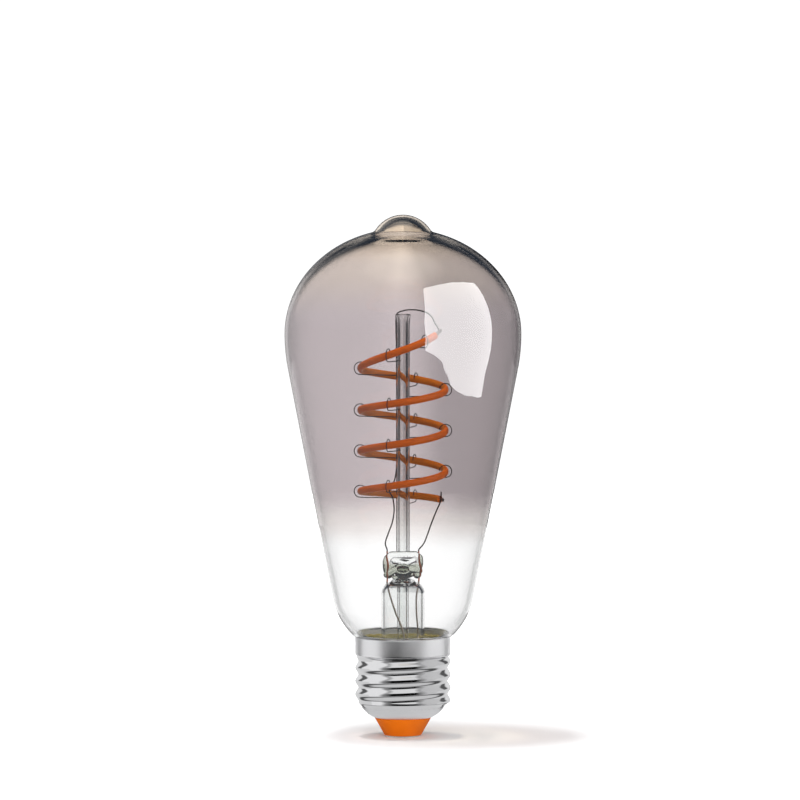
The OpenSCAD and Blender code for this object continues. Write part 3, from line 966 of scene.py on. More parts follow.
def makeCoilTree():
    # a strand of oval section that winds down round the mast
    labels = (
        ("Coil Radius", "Float"), ("Pitch", "Float"), ("Mid Height", "Float"), ("First Angle", "Float"),
        ("Last Angle", "Float"), ("Top Lift", "Float"), ("End Lift", "Float"), ("Strand Width", "Float"),
        ("Strand Height", "Float"), ("Steps", "Int"), ("Unevenness", "Float"), ("Seed", "Float"),
        ("Material", "Material"),
    )
    tree, get = geometryTree("coiledStrand", labels)

    def calc(operation, first, second=None):
        return mathNode(tree, operation, first, second)

    line = addNode(tree, "GeometryNodeCurvePrimitiveLine").outputs["Curve"]
    cut = addNode(tree, "GeometryNodeResampleCurve", {"Curve": line, "Count": get["Steps"]})
    factor = addNode(tree, "GeometryNodeSplineParameter").outputs["Factor"]
    span = calc("SUBTRACT", get["Last Angle"], get["First Angle"])
    angle = calc("ADD", get["First Angle"], calc("MULTIPLY", factor, span))
    turn = calc("RADIANS", angle)
    x = calc("MULTIPLY", get["Coil Radius"], calc("COSINE", turn))
    y = calc("MULTIPLY", get["Coil Radius"], calc("MULTIPLY", calc("SINE", turn), -1.0))
    turnsLeft = calc("DIVIDE", calc("SUBTRACT", coil["midAngle"], angle), 360.0)
    z = calc("ADD", get["Mid Height"], calc("MULTIPLY", turnsLeft, get["Pitch"]))
    fromTop = calc("SUBTRACT", coil["topLiftFrom"], angle)
    fromEnd = calc("SUBTRACT", angle, coil["endLiftFrom"])
    # both ends of the strand rise above the even spiral
    for end, distance, lift in (("topLift", fromTop, get["Top Lift"]), ("endLift", fromEnd, get["End Lift"])):
        share = calc("MAXIMUM", calc("DIVIDE", distance, coil[end + "Span"]), 0.0)
        z = calc("ADD", z, calc("MULTIPLY", calc("POWER", share, coil[end + "Power"]), lift))
    place = addNode(tree, "ShaderNodeCombineXYZ", {0: x, 1: y, 2: z}).outputs["Vector"]
    wind = addNode(tree, "GeometryNodeSetPosition", {"Geometry": cut.outputs["Curve"], "Position": place})
    upright = addNode(tree, "GeometryNodeSetCurveNormal", {"Curve": wind.outputs["Geometry"]}, mode="Z_UP")
    ring = addNode(tree, "GeometryNodeCurvePrimitiveCircle", {"Resolution": 20, "Radius": 0.5})
    scale = addNode(tree, "ShaderNodeCombineXYZ", {0: get["Strand Width"], 1: get["Strand Height"], 2: 1.0})
    values = {"Geometry": ring.outputs["Curve"], "Scale": scale.outputs["Vector"]}
    squash = addNode(tree, "GeometryNodeTransform", values)
    strand = sweepAlong(tree, upright.outputs["Curve"], squash.outputs["Geometry"])
    values = {"Scale": coil["noiseScale"], "W": get["Seed"]}
    noise = addNode(tree, "ShaderNodeTexNoise", values, noise_dimensions="4D").outputs["Fac"]
    swell = calc("MULTIPLY", calc("SUBTRACT", noise, 0.5), get["Unevenness"])
    push = addNode(tree, "ShaderNodeVectorMath", operation="SCALE")
    feedAll(tree, push, {0: addNode(tree, "GeometryNodeInputNormal").outputs["Normal"], "Scale": swell})
    shift = addNode(tree, "GeometryNodeSetPosition", {"Geometry": strand, "Offset": push.outputs["Vector"]})
    return finishTree(tree, get, shift.outputs["Geometry"])


def pointSource(name, points=()):
    mesh = bpy.data.meshes.new(name)
    mesh.from_pydata(points, [], [])
    return placeObject(name, mesh)


def buildFilament():
    values = {
        "Coil Radius": coil["radius"] * mm, "Pitch": coil["pitch"] * mm, "Mid Height": coil["midHeight"] * mm,
        "First Angle": float(coil["firstAngle"]), "Last Angle": float(coil["lastAngle"]),
        "Top Lift": coil["topLift"] * mm, "End Lift": coil["endLift"] * mm,
        "Strand Width": coil["strandWidth"] * mm, "Strand Height": coil["strandHeight"] * mm,
        "Steps": coil["steps"], "Unevenness": coil["unevenness"] * mm, "Seed": coil["seed"],
        "Material": materials["phosphorSilicone"],
    }
    obj = bakeTree("filamentSleeve", pointSource("coilSource"), makeCoilTree(), values)
    return keep(obj, "filament_sleeve")


hooks = {
    "firstAngle": 60,
    "turnAngles": (110, 180, 287),
    "rightAngles": (360, 720, 1080),
    "turns": 4,
    "wireRadius": 0.13,
    "curl": 1.68,
    "drop": 1.7,
    "sway": 0.02,
    "seed": 7,
}


def hookAngles():
    angles = [hooks["firstAngle"]]
    for turn in range(hooks["turns"]):
        angles += [a + 360 * turn for a in hooks["turnAngles"]]
    return angles + list(hooks["rightAngles"])


def hookShape():
    # centre line of one hook, in the plane that holds the mast: x outwards, z from the strand's middle
    r, curl, drop = coil["radius"], hooks["curl"], hooks["drop"]
    route = [(mast["radius"], 0, -drop - 0.2), (6, 0, -drop - 0.1), (r - 0.6, 0, -drop)]
    for a in range(-60, 151, 30):
        route.append((r + curl * math.cos(math.radians(a)), 0, drop * math.sin(math.radians(a))))
    route.append((r - 1.7, 0, 0.2))
    return smoothRoute(route, 5)


def makeHookTree():
    # one bent hook for each point, turned by the point's own bearing
    tree, get = geometryTree("wireHooks", (
        ("Hook Shape", "Object"), ("Wire Radius", "Float"), ("Sway", "Float"), ("Seed", "Int"),
        ("Material", "Material"),
    ))
    line = addNode(tree, "GeometryNodeObjectInfo", {"Object": get["Hook Shape"]}).outputs["Geometry"]
    ring = addNode(tree, "GeometryNodeCurvePrimitiveCircle", {"Resolution": 8, "Radius": get["Wire Radius"]})
    hook = sweepAlong(tree, line, ring.outputs["Curve"])
    own = addNode(tree, "GeometryNodeInputNamedAttribute", {"Name": "bearing"}, data_type="FLOAT")
    values = {2: -1.0, 3: 1.0, "Seed": get["Seed"]}
    random = addNode(tree, "FunctionNodeRandomValue", values, data_type="FLOAT")
    sway = mathNode(tree, "MULTIPLY", random.outputs[1], get["Sway"])
    bearing = mathNode(tree, "ADD", own.outputs["Attribute"], sway)
    turn = addNode(tree, "ShaderNodeCombineXYZ", {"Z": bearing}).outputs["Vector"]
    values = {"Points": get["Geometry"], "Instance": hook, "Rotation": turn}
    return finishTree(tree, get, addNode(tree, "GeometryNodeInstanceOnPoints", values).outputs["Instances"])


def buildHooks():
    angles = hookAngles()
    source = pointSource("hookPlaces", [(0, 0, coilHeight(a) * mm) for a in angles])
    bearings = source.data.attributes.new("bearing", "FLOAT", "POINT")
    bearings.data.foreach_set("value", [-math.radians(a) for a in angles])
    shape = routeCurve("hookLine", hookShape())
    values = {
        "Hook Shape": shape, "Wire Radius": hooks["wireRadius"] * mm, "Sway": hooks["sway"],
        "Seed": hooks["seed"], "Material": materials["leadMetal"],
    }
    obj = bakeTree("supportHooks", source, makeHookTree(), values)
    bpy.data.objects.remove(shape)
    return keep(obj, "support_hooks")


tab = {
    "topLength": 3.0,
    "bottomLength": 2.2,
    "width": 1.0,
    "thickness": 0.16,
    "overlap": 0.6,
    "topRise": 30,
    "bottomRise": -4,
}


def buildTab(name, node, angle, away, end):
    # thin strip with a rounded end, crimped on the strand's end
    a, tilt, length = math.radians(angle), math.radians(tab[end + "Rise"]), tab[end + "Length"]
    run = Vector((-math.sin(a), -math.cos(a), 0)) * away
    along = run * math.cos(tilt) + Vector((0, 0, 1)) * math.sin(tilt)
    out = Vector((math.cos(a), -math.sin(a), 0))
    across = along.cross(out)
    half, thickness = tab["width"] / 2, tab["thickness"]
    outline = [(-tab["overlap"], -half), (length - half, -half)]
    outline += arcPoints((length - half, 0), half, -75, 75, 8)
    outline += [(length - half, half), (-tab["overlap"], half)]
    start = coilPoint(angle) - out * thickness / 2
    bm = bmesh.new()
    face = bm.faces.new([bm.verts.new((start + along * x + across * y) * mm) for x, y in outline])
    grown = bmesh.ops.extrude_face_region(bm, geom=[face])
    moved = [v for v in grown["geom"] if isinstance(v, bmesh.types.BMVert)]
    bmesh.ops.translate(bm, vec=out * thickness * mm, verts=moved)
    return keep(newObject(name, smoothedMesh(name, bm, 30), materials["tabMetal"]), node)


routes = {
    "lead_wire_top": [
        (-4.3, 0, 50.8), (-4.35, 0, 51.3), (-4.8, 0.3, 53), (-3.9, 0.6, 55.8), (-2.9, 0.9, 58.6),
        (-2.4, 1.2, 62), (-2.8, 1.4, 65.3), (-3.7, 1.5, 67), (-2.9, 1.6, 68.5), (-1.8, 1.7, 73), (-1.7, 1.7, 84),
        (-1.7, 1.7, 96), (-1.8, 1.7, 107), (-1.9, 1.7, 113.5), (-1.6, 1.4, 115.8), (0.3, 0.2, 116.7),
        (2.1, -1.6, 117), (4.4, -3.8, 116.9), (6.6, -5.6, 116.2), (7.9, -6.2, 115), (8.6, -6.1, 113.4),
        (9.5, -6, 111.9), (9.6, -6.05, 110.9),
    ],
    "lead_wire_bottom": [
        (4.3, 0, 50.8), (4.4, 0, 51.3), (5.9, 0.6, 53.2), (7.7, 1.8, 58), (9.1, 3.2, 61.4),
        (10.2, 4.3, 63.8), (10.4, 4.4, 65.2), (10.45, 4.4, 66.7),
    ],
    "outer_lead_left": [
        (-4.3, 0, 42.3), (-4.25, -0.05, 41.8), (-3.4, -1.2, 38.5), (-1.6, -2.2, 33), (0, -2.6, 28.5),
        (1, -2.7, 22), (2, -2.8, 16), (2.2, -2.8, 12),
    ],
    "outer_lead_right": [
        (4.3, 0, 42.3), (4.25, 0, 41.8), (3.7, 0.5, 38), (3.8, 0.8, 33), (4.2, 1, 28), (4, 1.2, 22),
        (3, 1.6, 16), (2.8, 1.6, 12),
    ],
    "shell_wire": [(-9.7, 2, 12), (-9.9, 2, 13), (-10.4, 2.1, 16), (-10.9, 2.2, 17.1), (-11.7, 2.3, 17.15)],
}
wireLooks = {
    "lead_wire_top": ("leadWireTop", 0.19, "leadMetal", "lead_metal"),
    "lead_wire_bottom": ("leadWireBottom", 0.19, "leadMetal", "lead_metal"),
    "outer_lead_left": ("outerLeadLeft", 0.24, "outerLeadMetal", "lead_metal"),
    "outer_lead_right": ("outerLeadRight", 0.24, "outerLeadMetal", "lead_metal"),
    "shell_wire": ("shellWire", 0.19, "tinnedWire", "tinned_wire"),
}


def buildWires():
    for node, (name, radius, material, slot) in wireLooks.items():
        keep(roundWire(name, smoothRoute(routes[node]), radius, materials[material]), node)


# each point: height, share of the bow, sideways nudge
sealRoute = ((42.3, 0, 0), (43.6, 0.3, 0), (45.4, 1, 0), (47.4, 0.6, 0), (49.2, 0, -0.02), (50.8, 0, 0))
seal = {"offset": 4.3, "leftBow": -0.15, "rightBow": 0.35, "radius": 0.21}


def buildSealWires():
    # the two seal wires bow a little inside the glass
    wires = []
    for side, bow in ((-1, seal["leftBow"]), (1, seal["rightBow"])):
        route = [(side * (seal["offset"] + bow * share + nudge), 0, z) for z, share, nudge in sealRoute]
        wires.append(roundWire("sealWire", smoothRoute(route), seal["radius"], materials["copperClad"]))
    first, second = wires
    bm = bmesh.new()
    for wire in wires:
        bm.from_mesh(wire.data)
    bm.to_mesh(first.data)
    bm.free()
    bpy.data.objects.remove(second)
    first.name = "sealWires"
    return keep(first, "seal_wires")


buildFilament()
buildHooks()
buildTab("filamentTabTop", "filament_tab_top", coil["firstAngle"], -1, "top")
buildTab("filamentTabBottom", "filament_tab_bottom", coil["lastAngle"], 1, "bottom")
buildWires()
buildSealWires()
print("filament, hooks and wires built")


# the cap

cap = {
    "pitch": 3.629,
    "crest": 13.1,
    "root": 12.25,
    "ridgePower": 0.85,
    "topCrest": 20.7,
    "threadFrom": 8.5,
    "threadFull": 9.7,
    "threadFade": 1.1,
    "skirtFrom": 22.4,
    "skirtLead": 0.75,
    "skirtBlend": 1.0,
    "skirtRadius": 13.08,
    "footRadius": 8.13,
    "footCentre": (4.61, 12.8),
    "sheet": 0.3,
    "rimRound": 0.45,
    "rimShare": 0.8,
    "lipDepth": 0.4,
    "lipGap": 0.1,
    "columns": 240,
    "outerRows": 150,
    "rimRows": 8,
    "innerRows": 60,
}


def shellRadius(z, angle, rim):
    centreR, centreZ = cap["footCentre"]
    foot = centreR + math.sqrt(max(0, cap["footRadius"] ** 2 - (centreZ - min(z, centreZ)) ** 2))
    rise = easedShare(limited((z - cap["threadFrom"]) / (cap["threadFull"] - cap["threadFrom"])))
    fall = easedShare(limited((cap["skirtFrom"] - z) / cap["threadFade"]))
    turn = 2 * math.pi * (z - cap["topCrest"]) / cap["pitch"] - angle
    ridge = (0.5 + 0.5 * math.cos(turn)) ** cap["ridgePower"]
    base = min(cap["root"], foot) + (cap["crest"] - cap["root"]) * ridge * rise * fall
    skirt = easedShare(limited((z - cap["skirtFrom"] + cap["skirtLead"]) / cap["skirtBlend"]))
    base = base * (1 - skirt) + cap["skirtRadius"] * skirt
    down = max(0, z - rim + cap["rimRound"]) / cap["rimRound"]
    return base - cap["rimRound"] * (1 - math.sqrt(max(0, 1 - down * down))) * cap["rimShare"]


def buildScrewShell():
    foot, rim, _ = spanOf(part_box("screw_shell"))
    even, steps, turns = rim - cap["rimRound"], cap["outerRows"], cap["rimRows"]
    rows = [foot + (even - foot) * i / steps for i in range(steps + 1)]
    rows += [rim - cap["rimRound"] * (1 - math.sin(math.pi / 2 * i / turns)) for i in range(1, turns + 1)]
    innerRows = [foot + (rim - foot) * i / cap["innerRows"] for i in range(cap["innerRows"] + 1)]
    bm = bmesh.new()
    columns = []
    for k in range(cap["columns"]):
        a = 2 * math.pi * k / cap["columns"]
        column = [ringVertex(bm, shellRadius(z, a, rim), a, z) for z in rows]
        for z in reversed(innerRows):
            # the rounding of the rim is left out of the inner face
            r = shellRadius(z, a, rim + 1) - cap["sheet"]
            if z > rim - cap["lipDepth"]:
                r = min(r, cap["skirtRadius"] - cap["sheet"] - cap["lipGap"])
            column.append(ringVertex(bm, r, a, z))
        columns.append(column)
    joinColumns(bm, columns)
    mesh = smoothedMesh("screwShell", bm, 50)
    return keep(newObject("screwShell", mesh, materials["nickelShell"]), "screw_shell")


insulator = {
    "bore": 1.12,
    "flat": 4.5,
    "foot": 5.0,
    "footRound": 0.3,
    "shoulder": 5.28,
    "shoulderLead": (6, 2.6),
    "shoulderRound": 0.15,
    "step": 0.42,
    "stepTop": 6.2,
    "topRadius": 6,
}


def buildInsulator():
    bottom, top, wide = spanOf(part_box("cap_insulator"))
    bore, flat, foot, shoulder = (insulator[key] for key in ("bore", "flat", "foot", "shoulder"))
    step = wide - insulator["step"]
    edge, corner = (foot, bottom), (wide, shoulder)
    outline = [(bore, bottom), (flat, bottom)]
    outline += roundedCorner((flat, bottom), edge, corner, insulator["footRound"])
    outline += straightLine(edge, corner, 6)[1:-1]
    outline += roundedCorner(insulator["shoulderLead"], corner, (step, shoulder), insulator["shoulderRound"])
    outline += [(step, shoulder + 0.02), (step, insulator["stepTop"])]
    outline += [(insulator["topRadius"], top), (bore, top)]
    mesh = turnedMesh("capInsulator", outline, 128, 35)
    obj = newObject("capInsulator", mesh, materials["orangeInsulator"])
    return keep(obj, "cap_insulator")


contact = {
    "thickness": 0.4,
    "edgeRound": 0.25,
    "flat": 3.2,
    "pinRadius": 1.1,
    "pinTip": 0.7,
    "pinRound": 0.5,
}


def buildContact():
    top, wide = spanOf(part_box("centre_contact"))[1:]
    thick, pin = contact["thickness"], contact["pinRadius"]
    outline = [(0, 0), (contact["flat"], 0), (wide - 0.35, 0)]
    outline += roundedCorner((contact["flat"], 0), (wide, 0), (wide, thick), contact["edgeRound"])[1:]
    outline += [(wide, thick - 0.04), (wide - 0.06, thick), (pin, thick), (pin, top - contact["pinRound"])]
    outline += [(contact["pinTip"], top), (0, top)]
    mesh = turnedMesh("centreContact", outline, 96, 40)
    obj = newObject("centreContact", mesh, materials["contactMetal"])
    return keep(obj, "centre_contact")


cement = {
    "neckGap": 0.02,
    "columns": 180,
    "waves": ((0.1, 5, 1), (0.07, 13, 0), (0.04, 31, 2)),
    "lipDrop": 0.22,
    "lipWidth": 0.25,
    "outerDrop": 0.2,
    "middleDrop": 0.05,
    "innerDrop": 0.25,
}


def buildCement():
    # a ring with an uneven upper edge, where the paste rose between neck and skirt
    bottom, top, outer = spanOf(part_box("cap_cement"))
    inner, width = envelope["neckRadius"] + cement["neckGap"], cement["lipWidth"]
    bm = bmesh.new()
    strips = []
    for k in range(cement["columns"]):
        a = 2 * math.pi * k / cement["columns"]
        lip = top - cement["lipDrop"]
        lip += sum(height * math.sin(count * a + shift) for height, count, shift in cement["waves"])
        section = (
            (inner, bottom), (outer, bottom), (outer, lip - cement["outerDrop"]), (outer - width, lip),
            (inner + width, lip - cement["middleDrop"]), (inner, lip - cement["innerDrop"]),
        )
        strips.append([ringVertex(bm, r, a, z) for r, z in section])
    joinColumns(bm, strips)
    mesh = smoothedMesh("capCement", bm, 40)
    return keep(newObject("capCement", mesh, materials["cement"]), "cap_cement")


buildScrewShell()
buildInsulator()
buildContact()
buildCement()
print("cap built")


# pieces that keep the frame's own mesh

slotLooks = {
    "flex_circuit": "flexCircuit",
    "led_die": "ledDie",
    "red_wire": "redWire",
    "white_plastic": "whitePlastic",
    "circuit_board": "circuitBoard",
    "black_package": "blackPackage",
    "capacitor_sleeve": "capacitorSleeve",
    "ferrite": "ferrite",
    "resistor_body": "resistorBody",
    "shield_can": "shieldCan",
    "gold_trace": "goldTrace",
    "chip_ceramic": "chipCeramic",
}
for part in frame["record"]["subparts"]:
    look = slotLooks.get(part["material_slot"])
    if look:
        mesh = frame["nodes"][part["node"]].data
        mesh.materials.clear()
        mesh.materials.append(materials[look])
print("driver pieces painted")


# the studio

studio = {
    "floorRadius": 0.9,
    "floorColour": 0.8,
    "floorRoughness": 0.8,
    "glowNear": 0.1,
    "glowFar": 1.15,
    "glowFrom": 0.05,
    "glowTo": 0.16,
    "aimHeight": 0.092,
    "aimShift": -0.0008,
    "cameraDistance": 2.3,
    "cameraRise": 3.6,
    "cameraReach": 50,
    "lens": 380,
    "sensor": 36,
    "bounces": 28,
    "softboxGlow": 10.3,
    "softboxMiddle": (0.208, -0.108, 0.155),
    "softboxSides": 4,
    "ringRadius": 0.032,
    "ringTop": 0.055,
    "ringSteps": 120,
    "openSky": 1.1,
    "diffuseSky": 0.2,
}
slate = (0.03, 0.04, 0.058)
shade = (0.02, 0.025, 0.035)
floorShade = (0.05, 0.06, 0.075)
zenithColour = (2.2, 2.05, 1.8)
# tones by bearing: 0 is behind the part, 0.5 at the camera, and the left side comes first
roomTones = {
    # what polished faces see low down: a pale wall on the left, dark elsewhere
    "mirrored": (
        (0.0, 0.05), (0.025, 0.3), (0.1, 0.5), (0.2, 0.75), (0.42, 0.75), (0.47, 0.3),
        (0.54, 0.15), (0.8, 0.1), (0.86, 0.25), (0.91, 0.02), (1.0, 0.02),
    ),
    # what polished faces see high up
    "mirroredHigh": (
        (0.0, slate), (0.05, slate), (0.11, (0.95, 0.88, 0.8)), (0.24, 1.0), (0.42, 0.8), (0.47, 0.55),
        (0.54, 0.5), (0.6, 0.35), (0.72, slate), (1.0, slate),
    ),
    # what bent rays see low down: the backdrop straight behind, dark at the sides
    "behind": (
        (0.0, 1.2), (0.045, 1.15), (0.085, 0.22), (0.2, 0.16), (0.35, shade), (0.5, 0.3), (0.65, shade),
        (0.8, shade), (0.915, (0.06, 0.07, 0.085)), (0.955, 1.15), (1.0, 1.2),
    ),
    # what bent rays see on the floor
    "floorBehind": ((0.0, 1.2), (0.09, 1.15), (0.13, 0.2), (0.87, 0.1), (0.92, 1.15), (1.0, 1.2)),
    # the card ring round the cap
    "capRing": (
        (0.0, 0.9), (0.17, 0.9), (0.185, 0.12), (0.22, 0.12), (0.235, 1.0), (0.36, 1.0), (0.39, 0.3),
        (0.44, 0.0), (0.57, 0.0), (0.6, 0.25), (0.64, 0.62), (0.765, 0.7), (0.78, 0.12), (0.815, 0.12),
        (0.83, 0.9), (1.0, 0.9),
    ),
}
# tones by distance from the bulb's axis on the floor, seen only in reflections, with a dark ring of painted
# shadow round the cap, and across the backdrop from left to right
floorShadowRings = ((0.5, 0.72), (0.57, 0.1), (0.66, 0.1), (0.75, 0.72), (1.0, 0.6))
backdropTones = ((0.0, 0.98), (0.3, 1.0), (0.46, 1.13), (0.6, 1.0), (0.78, 0.72), (1.0, 0.7))
# spans over which one tone passes into the next: heights, distances and shares
blends = {
    "cameraTilt": (0.2, 0.45),
    "backdropHalf": (-0.02, 0.02),
    "floorNear": (0.032, 0.09),
    "floorBehind": (0.03, 0.07),
    "floorShadowRings": (0.0, 0.04),
    "floorBackdrop": (0.55, 0.88),
    "softboxReach": (0.28, 0.265),
    "softboxSide": (0.55, 0.85),
    "ringAside": (0.2, 0.21),
    "ringAhead": (0.12, 0.08),
    "ringLow": (0.018, 0.016),
    "ringHigh": (0.029, 0.032),
    "mirroredHigh": (0.08, 0.3),
    "zenith": (0.86, 0.985),
    "above": (0.14, 0.32),
}
lamps = {
    "topLamp": ((-0.1, -0.1, 1.1), (0, 0, 0), (0.9, 0.9), 4.5),
    "frontLamp": ((0.1, -0.9, 0.4), (0, 0, 0.03), (0.5, 0.4), 5.6),
    "leftLamp": ((-0.12, 0.0, 1.0), (0, 0, 0), (0.22, 0.08), 7),
}


def blend(tree, source, name):
    return mapRange(tree, source, *blends[name], smooth=True)


def blendEvenly(tree, source, name):
    return mapRange(tree, source, *blends[name])


def cameraForward(tree):
    turn = {"vector_type": "VECTOR", "convert_from": "CAMERA", "convert_to": "WORLD"}
    return addNode(tree, "ShaderNodeVectorTransform", {0: (0, 0, 1)}, **turn).outputs[0]


def lookingDown(tree):
    # 0 for a level camera, 1 for one that looks down or up at the part
    rise = mathNode(tree, "ABSOLUTE", splitVector(tree, cameraForward(tree))["Z"])
    return blend(tree, rise, "cameraTilt")


def bearingOf(tree, vector):
    # the room turns with the camera
    forward = vectorNode(tree, "NORMALIZE", vectorNode(tree, "MULTIPLY", cameraForward(tree), (1, 1, 0)))
    across = vectorNode(tree, "DOT_PRODUCT", vector, vectorNode(tree, "CROSS_PRODUCT", forward, (0, 0, 1)))
    deep = vectorNode(tree, "DOT_PRODUCT", vector, forward)
    turn = mathNode(tree, "ARCTAN2", across, mathNode(tree, "MULTIPLY", deep, -1.0))
    bearing = mapRange(tree, turn, -math.pi, math.pi)
    return bearing, {"X": across, "Y": deep, "Z": splitVector(tree, vector)["Z"]}


def shadedByBackdrop(tree, colour, across):
    # the backdrop is brightest in the middle and dimmer on the right
    tones = ramp(tree, blendEvenly(tree, across, "backdropHalf"), backdropTones)
    return mixColour(tree, 1.0, colour, tones, "MULTIPLY")


def buildFloor():
    bm = bmesh.new()
    bmesh.ops.create_circle(bm, cap_ends=True, segments=96, radius=studio["floorRadius"])
    mesh = meshFrom("floor", bm)
    material, tree, shader = newMaterial("floorPaper")
    coords = objectCoords(tree)
    bearing, sides = bearingOf(tree, coords)
    away = vectorNode(tree, "LENGTH", coords)
    path = addNode(tree, "ShaderNodeLightPath").outputs
    span = (studio["glowFrom"], studio["glowTo"], studio["glowNear"], studio["glowFar"])
    feedAll(tree, shader, {
        "Base Color": grey(studio["floorColour"]),
        "Roughness": studio["floorRoughness"],
        "Specular IOR Level": 0.0,
        "Emission Color": grey(1),
        "Emission Strength": mapRange(tree, away, *span, smooth=True),
    })
    # polished faces near the cap see the floor with a dark ring of painted shadow
    rings = ramp(tree, blendEvenly(tree, away, "floorShadowRings"), floorShadowRings)
    room = ramp(tree, bearing, roomTones["mirrored"])
    mirrored = mixColour(tree, blend(tree, away, "floorNear"), rings, room)
    tones = ramp(tree, bearing, roomTones["floorBehind"])
    behind = mixColour(tree, blend(tree, away, "floorBehind"), floorShade, tones)
    depth = mathNode(tree, "ADD", sides["Y"], studio["cameraDistance"])
    shaded = shadedByBackdrop(tree, behind, mathNode(tree, "DIVIDE", sides["X"], depth))
    behind = mixColour(tree, blend(tree, away, "floorBackdrop"), behind, shaded)
    behind = mixColour(tree, lookingDown(tree), behind, grey(studio["openSky"]))
    seen = mixColour(tree, path["Is Transmission Ray"], mirrored, behind)
    paint = addNode(tree, "ShaderNodeEmission", {"Color": seen})
    bent = mathNode(tree, "MAXIMUM", path["Is Transmission Ray"], path["Is Glossy Ray"])
    mixSurface(tree, bent, shader.outputs["BSDF"], paint.outputs[0])
    newObject("floor", mesh, material)


def glowMaterial(name, strength):
    material, tree, shader = newMaterial(name)
    tree.nodes.remove(shader)
    glow = addNode(tree, "ShaderNodeEmission", {"Strength": strength})
    tree.links.new(glow.outputs[0], tree.nodes["Material Output"].inputs["Surface"])
    return material, tree, glow


def onlyInReflections(obj):
    for ray in ("camera", "diffuse", "transmission", "volume_scatter", "shadow"):
        setattr(obj, "visible_" + ray, False)


# sheet of light at the front right; its outline runs round from the upper left corner
softboxOutline = (
    (0.070, -0.130, 0.319), (0.115, -0.087, 0.319), (0.153, -0.034, 0.308), (0.185, 0.041, 0.272),
    (0.212, 0.034, 0.239), (0.240, 0.017, 0.183), (0.252, 0.006, 0.115), (0.250, 0.001, 0.071),
    (0.240, -0.009, 0.028), (0.239, -0.011, 0.020), (0.231, -0.062, 0.014), (0.209, -0.115, 0.009),
    (0.178, -0.159, 0.007), (0.160, -0.180, 0.012), (0.149, -0.203, 0.043), (0.122, -0.225, 0.058),
    (0.090, -0.242, 0.071), (0.086, -0.234, 0.187),
)


def buildSoftbox():
    last = len(softboxOutline)
    faces = [(i, (i + 1) % last, last) for i in range(last)]
    # one sheet for each side, lit only while the camera is on that side
    for side in range(studio["softboxSides"]):
        turn = Matrix.Rotation(side * math.pi / 2, 3, "Z")
        mesh = bpy.data.meshes.new("softbox")
        points = [turn @ Vector(point) for point in (*softboxOutline, studio["softboxMiddle"])]
        mesh.from_pydata(points, [], faces)
        material, tree, glow = glowMaterial("softboxGlow" + str(side), studio["softboxGlow"])
        facing = vectorNode(tree, "DOT_PRODUCT", cameraForward(tree), tuple(turn @ Vector((0, 1, 0))))
        length = addNode(tree, "ShaderNodeLightPath").outputs["Ray Length"]
        near = blendEvenly(tree, length, "softboxReach")
        lit = mathNode(tree, "MULTIPLY", near, blend(tree, facing, "softboxSide"))
        clear = addNode(tree, "ShaderNodeBsdfTransparent").outputs[0]
        mixSurface(tree, lit, clear, glow.outputs[0])
        onlyInReflections(newObject("softbox" + str(side), mesh, material))


def buildCapRing():
    # curved card close round the cap, seen only in reflections; its tone changes with the bearing
    steps, radius = studio["ringSteps"], studio["ringRadius"]
    bm = bmesh.new()
    rows = []
    for height in (0.0, studio["ringTop"]):
        angles = [2 * math.pi * i / steps for i in range(steps)]
        rows.append([bm.verts.new((radius * math.sin(a), -radius * math.cos(a), height)) for a in angles])
    for i in range(steps):
        n = (i + 1) % steps
        bm.faces.new((rows[0][i], rows[0][n], rows[1][n], rows[1][i]))
    mesh = meshFrom("capRing", bm)
    material, tree, glow = glowMaterial("capRingGlow", 1.0)
    bearing, sides = bearingOf(tree, objectCoords(tree))
    tone = ramp(tree, bearing, roomTones["capRing"])
    offside = mathNode(tree, "ABSOLUTE", mathNode(tree, "SUBTRACT", bearing, 0.5))
    for place, level, value in (("ringAside", "ringLow", 0.8), ("ringAhead", "ringHigh", 0.9)):
        there = blendEvenly(tree, offside, place)
        share = mathNode(tree, "MULTIPLY", there, blendEvenly(tree, sides["Z"], level))
        tone = mixColour(tree, share, tone, grey(value))
    tree.links.new(tone, glow.inputs["Color"])
    onlyInReflections(newObject("capRing", mesh, material))


def pointAt(obj, place, aim):
    obj.location = place
    obj.rotation_euler = (Vector(aim) - Vector(place)).to_track_quat("-Z", "Y").to_euler()


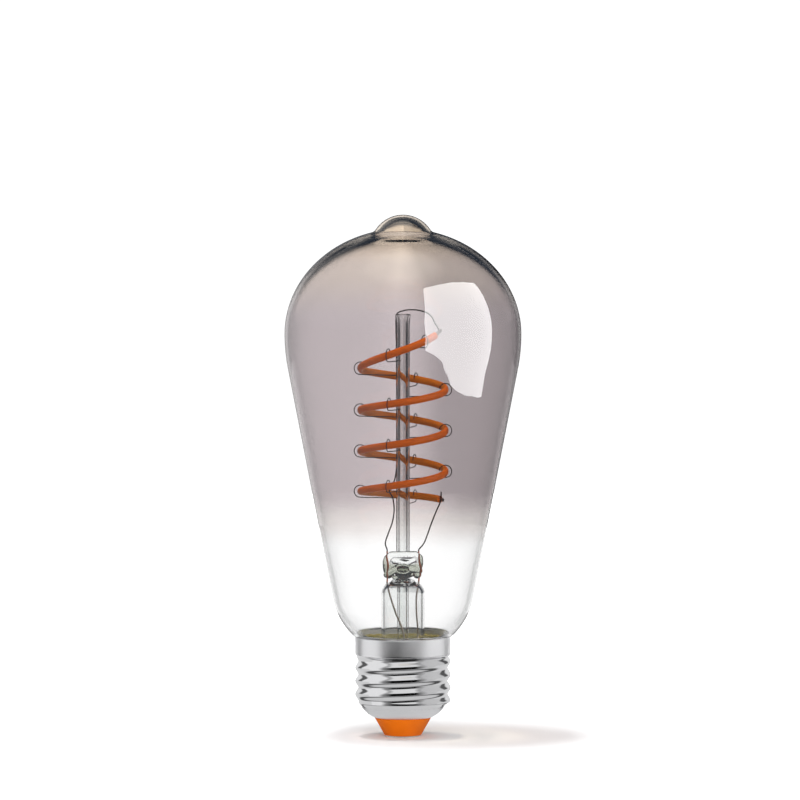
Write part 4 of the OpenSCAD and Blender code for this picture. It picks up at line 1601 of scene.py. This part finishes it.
def areaLight(name, place, aim, size, power):
    data = bpy.data.lights.new(name, "AREA")
    data.shape = "RECTANGLE"
    data.size, data.size_y = size
    data.energy = power
    lamp = placeObject(name, data)
    pointAt(lamp, place, aim)
    lamp.visible_glossy = False
    lamp.visible_transmission = False


def buildWorld():
    world = bpy.data.worlds.new("studio")
    bpy.context.scene.world = world
    world.use_nodes = True
    tree = world.node_tree
    bearing, sides = bearingOf(tree, addNode(tree, "ShaderNodeTexCoord").outputs["Generated"])
    height = sides["Z"]
    low = ramp(tree, bearing, roomTones["mirrored"])
    high = ramp(tree, bearing, roomTones["mirroredHigh"])
    mirrored = mixColour(tree, blend(tree, height, "mirroredHigh"), low, high)
    mirrored = mixColour(tree, blend(tree, height, "zenith"), mirrored, zenithColour)
    behind = shadedByBackdrop(tree, ramp(tree, bearing, roomTones["behind"]), sides["X"])
    behind = mixColour(tree, blend(tree, height, "above"), behind, slate)
    behind = mixColour(tree, lookingDown(tree), behind, grey(studio["openSky"]))
    path = addNode(tree, "ShaderNodeLightPath").outputs
    sky = grey(studio["diffuseSky"])
    colour = mixColour(tree, path["Is Diffuse Ray"], grey(studio["openSky"]), sky)
    colour = mixColour(tree, path["Is Glossy Ray"], colour, mirrored)
    colour = mixColour(tree, path["Is Transmission Ray"], colour, behind)
    tree.links.new(colour, tree.nodes["Background"].inputs["Color"])


def buildCamera():
    data = bpy.data.cameras.new("camera")
    data.lens = studio["lens"]
    data.sensor_width = studio["sensor"]
    data.clip_end = studio["cameraReach"]
    camera = placeObject("camera", data)
    rise = math.radians(studio["cameraRise"])
    aim = Vector((studio["aimShift"], 0, studio["aimHeight"]))
    pointAt(camera, aim + Vector((0, -math.cos(rise), math.sin(rise))) * studio["cameraDistance"], aim)
    bpy.context.scene.camera = camera


buildFloor()
buildSoftbox()
buildCapRing()
for lampName in lamps:
    areaLight(lampName, *lamps[lampName])
buildWorld()
buildCamera()
scene = bpy.context.scene
scene.view_settings.view_transform = "Standard"
scene.cycles.max_bounces = studio["bounces"]
scene.cycles.transmission_bounces = studio["bounces"]
scene.cycles.transparent_max_bounces = studio["bounces"]
print("studio built")
